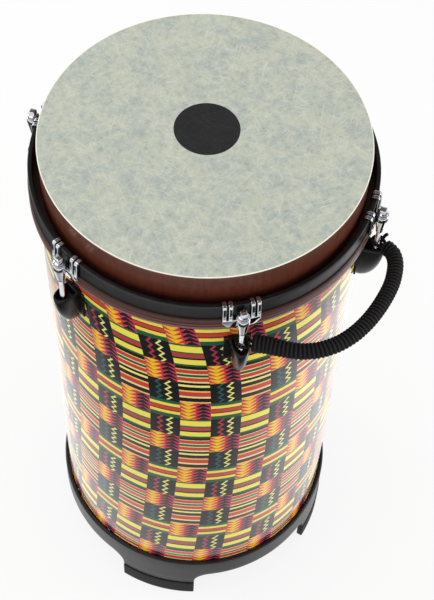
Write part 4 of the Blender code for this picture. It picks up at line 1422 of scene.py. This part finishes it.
# %% Nuts and screws, which keep their construction shapes
for index in range(1, LUG_COUNT + 1):
    for name in (f"lug_nut_{index}", f"lug_screw_{index}"):
        node = frame["nodes"][name]
        for holder in node.material_slots:
            holder.material = ZINC.material
print("Nuts and screws wear zinc plate")

# %% [markdown]
# ## The studio
# The drum stands on a white floor in a white room. Gloss shows what stands round a thing. The
# upright sides mirror the floor: near the drum it is brightly lit, which lays a pale veil over
# the print low down and to the right, and further out towards the camera it falls off into the
# dark, so the upper front keeps its full colours. Faces that look up mirror a dark ceiling, which
# keeps the black steel black. So the world gives an even light to matt surfaces, and to mirroring
# rays a white horizon under a dark top, and the floor shows them one soft round patch of light.

# %% World
SKY_LIGHT = 0.90
DARK_TOP = 0.12


def add_world():
    world = bpy.data.worlds.new("studio")
    bpy.context.scene.world = world
    world.use_nodes = True
    graph = Graph(world.node_tree)
    rays = graph.node("ShaderNodeLightPath", output="Is Camera Ray")
    mirrored = Value(graph, rays.socket.node.outputs["Is Glossy Ray"])
    through = Value(graph, rays.socket.node.outputs["Is Transmission Ray"])
    _, _, rise = graph.split(graph.node("ShaderNodeTexCoord", output="Generated"))
    dark = rise.between(0.30, 0.72)
    seen = graph.mix(dark, (1, 1, 1, 1), (DARK_TOP, DARK_TOP, DARK_TOP, 1))
    even = (SKY_LIGHT, SKY_LIGHT, SKY_LIGHT, 1)
    colour = graph.mix(mirrored, even, seen)
    colour = graph.mix(rays.most(through), colour, (1, 1, 1, 1))
    graph.feed(world.node_tree.nodes["Background"].inputs["Color"], colour)


add_world()

# %% Floor
FLOOR_HALF = 4.0
FLOOR_GLOW = 0.84
PATCH_PLACE = (-0.01, 0.11, 0.0)
PATCH_SHAPE = (0.83, 1.0, 1.0)  # narrower along the camera's line of sight
PATCH_FULL = 0.35
PATCH_END = 0.64
PATCH_LIGHT = 0.72
PATCH_LEFT = 2.2  # more light per metre to the left
PATCH_RIGHT = 3.6
PATCH_MOST = 1.9
FAR_START = 0.82
FAR_FULL = 0.94
FAR_LIGHT = 0.9


def add_floor():
    corners = np.array([(-1, -1, 0), (1, -1, 0), (1, 1, 0), (-1, 1, 0)]) * FLOOR_HALF
    mesh = bpy.data.meshes.new("floor")
    mesh.from_pydata(corners.tolist(), [], [(0, 1, 2, 3)])
    finish = Finish("white_floor", {"Roughness": 0.9, "Base Color": (0.8, 0.8, 0.8, 1)})
    mesh.materials.append(finish.material)
    floor = bpy.data.objects.new("floor", mesh)
    bpy.context.scene.collection.objects.link(floor)
    rays = finish.node("ShaderNodeLightPath", output="Is Camera Ray")
    mirrored = Value(finish, rays.socket.node.outputs["Is Glossy Ray"])
    through = Value(finish, rays.socket.node.outputs["Is Transmission Ray"])
    place = finish.stretched(finish.place, CAMERA_TURN, PATCH_SHAPE, PATCH_PLACE)
    reach = finish.node("ShaderNodeVectorMath", {"operation": "LENGTH"}, {0: place}, output="Value")
    dark = (reach - PATCH_FULL) / (PATCH_END - PATCH_FULL)
    _, across, _ = finish.split(place)
    level = (across * PATCH_RIGHT).most(across * -PATCH_LEFT) + PATCH_LIGHT
    level = level.least(PATCH_MOST)
    lit = (1 - dark).least(1.0).most(0.03) * level
    lit = lit.most(reach.between(FAR_START, FAR_FULL) * FAR_LIGHT)
    glow = finish.mix(mirrored, (1, 1, 1, 1), finish.joined(lit, lit, lit))
    glow = finish.node("ShaderNodeEmission", {}, {"Color": glow, "Strength": 1.0})
    shader = Value(finish, finish.shader.outputs[0])
    share = rays.most(through) * FLOOR_GLOW
    share = share.most(mirrored)
    both = finish.node("ShaderNodeMixShader", {}, {0: share, 1: shader, 2: glow})
    output = finish.nodes["Material Output"]
    finish.links.new(both.socket, output.inputs["Surface"])


add_floor()

# %% Lamps


def add_panel(name, place, aim, size, power):
    light = bpy.data.lights.new(name, "AREA")
    light.shape = "RECTANGLE"
    light.size, light.size_y = size
    light.energy = power
    lamp = bpy.data.objects.new(name, light)
    lamp.location = place
    lamp.rotation_euler = (Vector(aim) - Vector(place)).to_track_quat("-Z", "Y").to_euler()
    bpy.context.scene.collection.objects.link(lamp)


add_panel("overhead", (-0.6, -0.9, 2.6), (0, 0, 0.4), (1.6, 1.6), 10)
add_panel("left_panel", (-1.6, -0.6, 0.9), (0, 0, 0.4), (0.5, 1.4), 8)
add_panel("right_panel", (1.2, 1.2, 0.9), (0, 0, 0.4), (0.5, 1.4), 8)

# %% Colours as written
bpy.context.scene.view_settings.view_transform = "Standard"
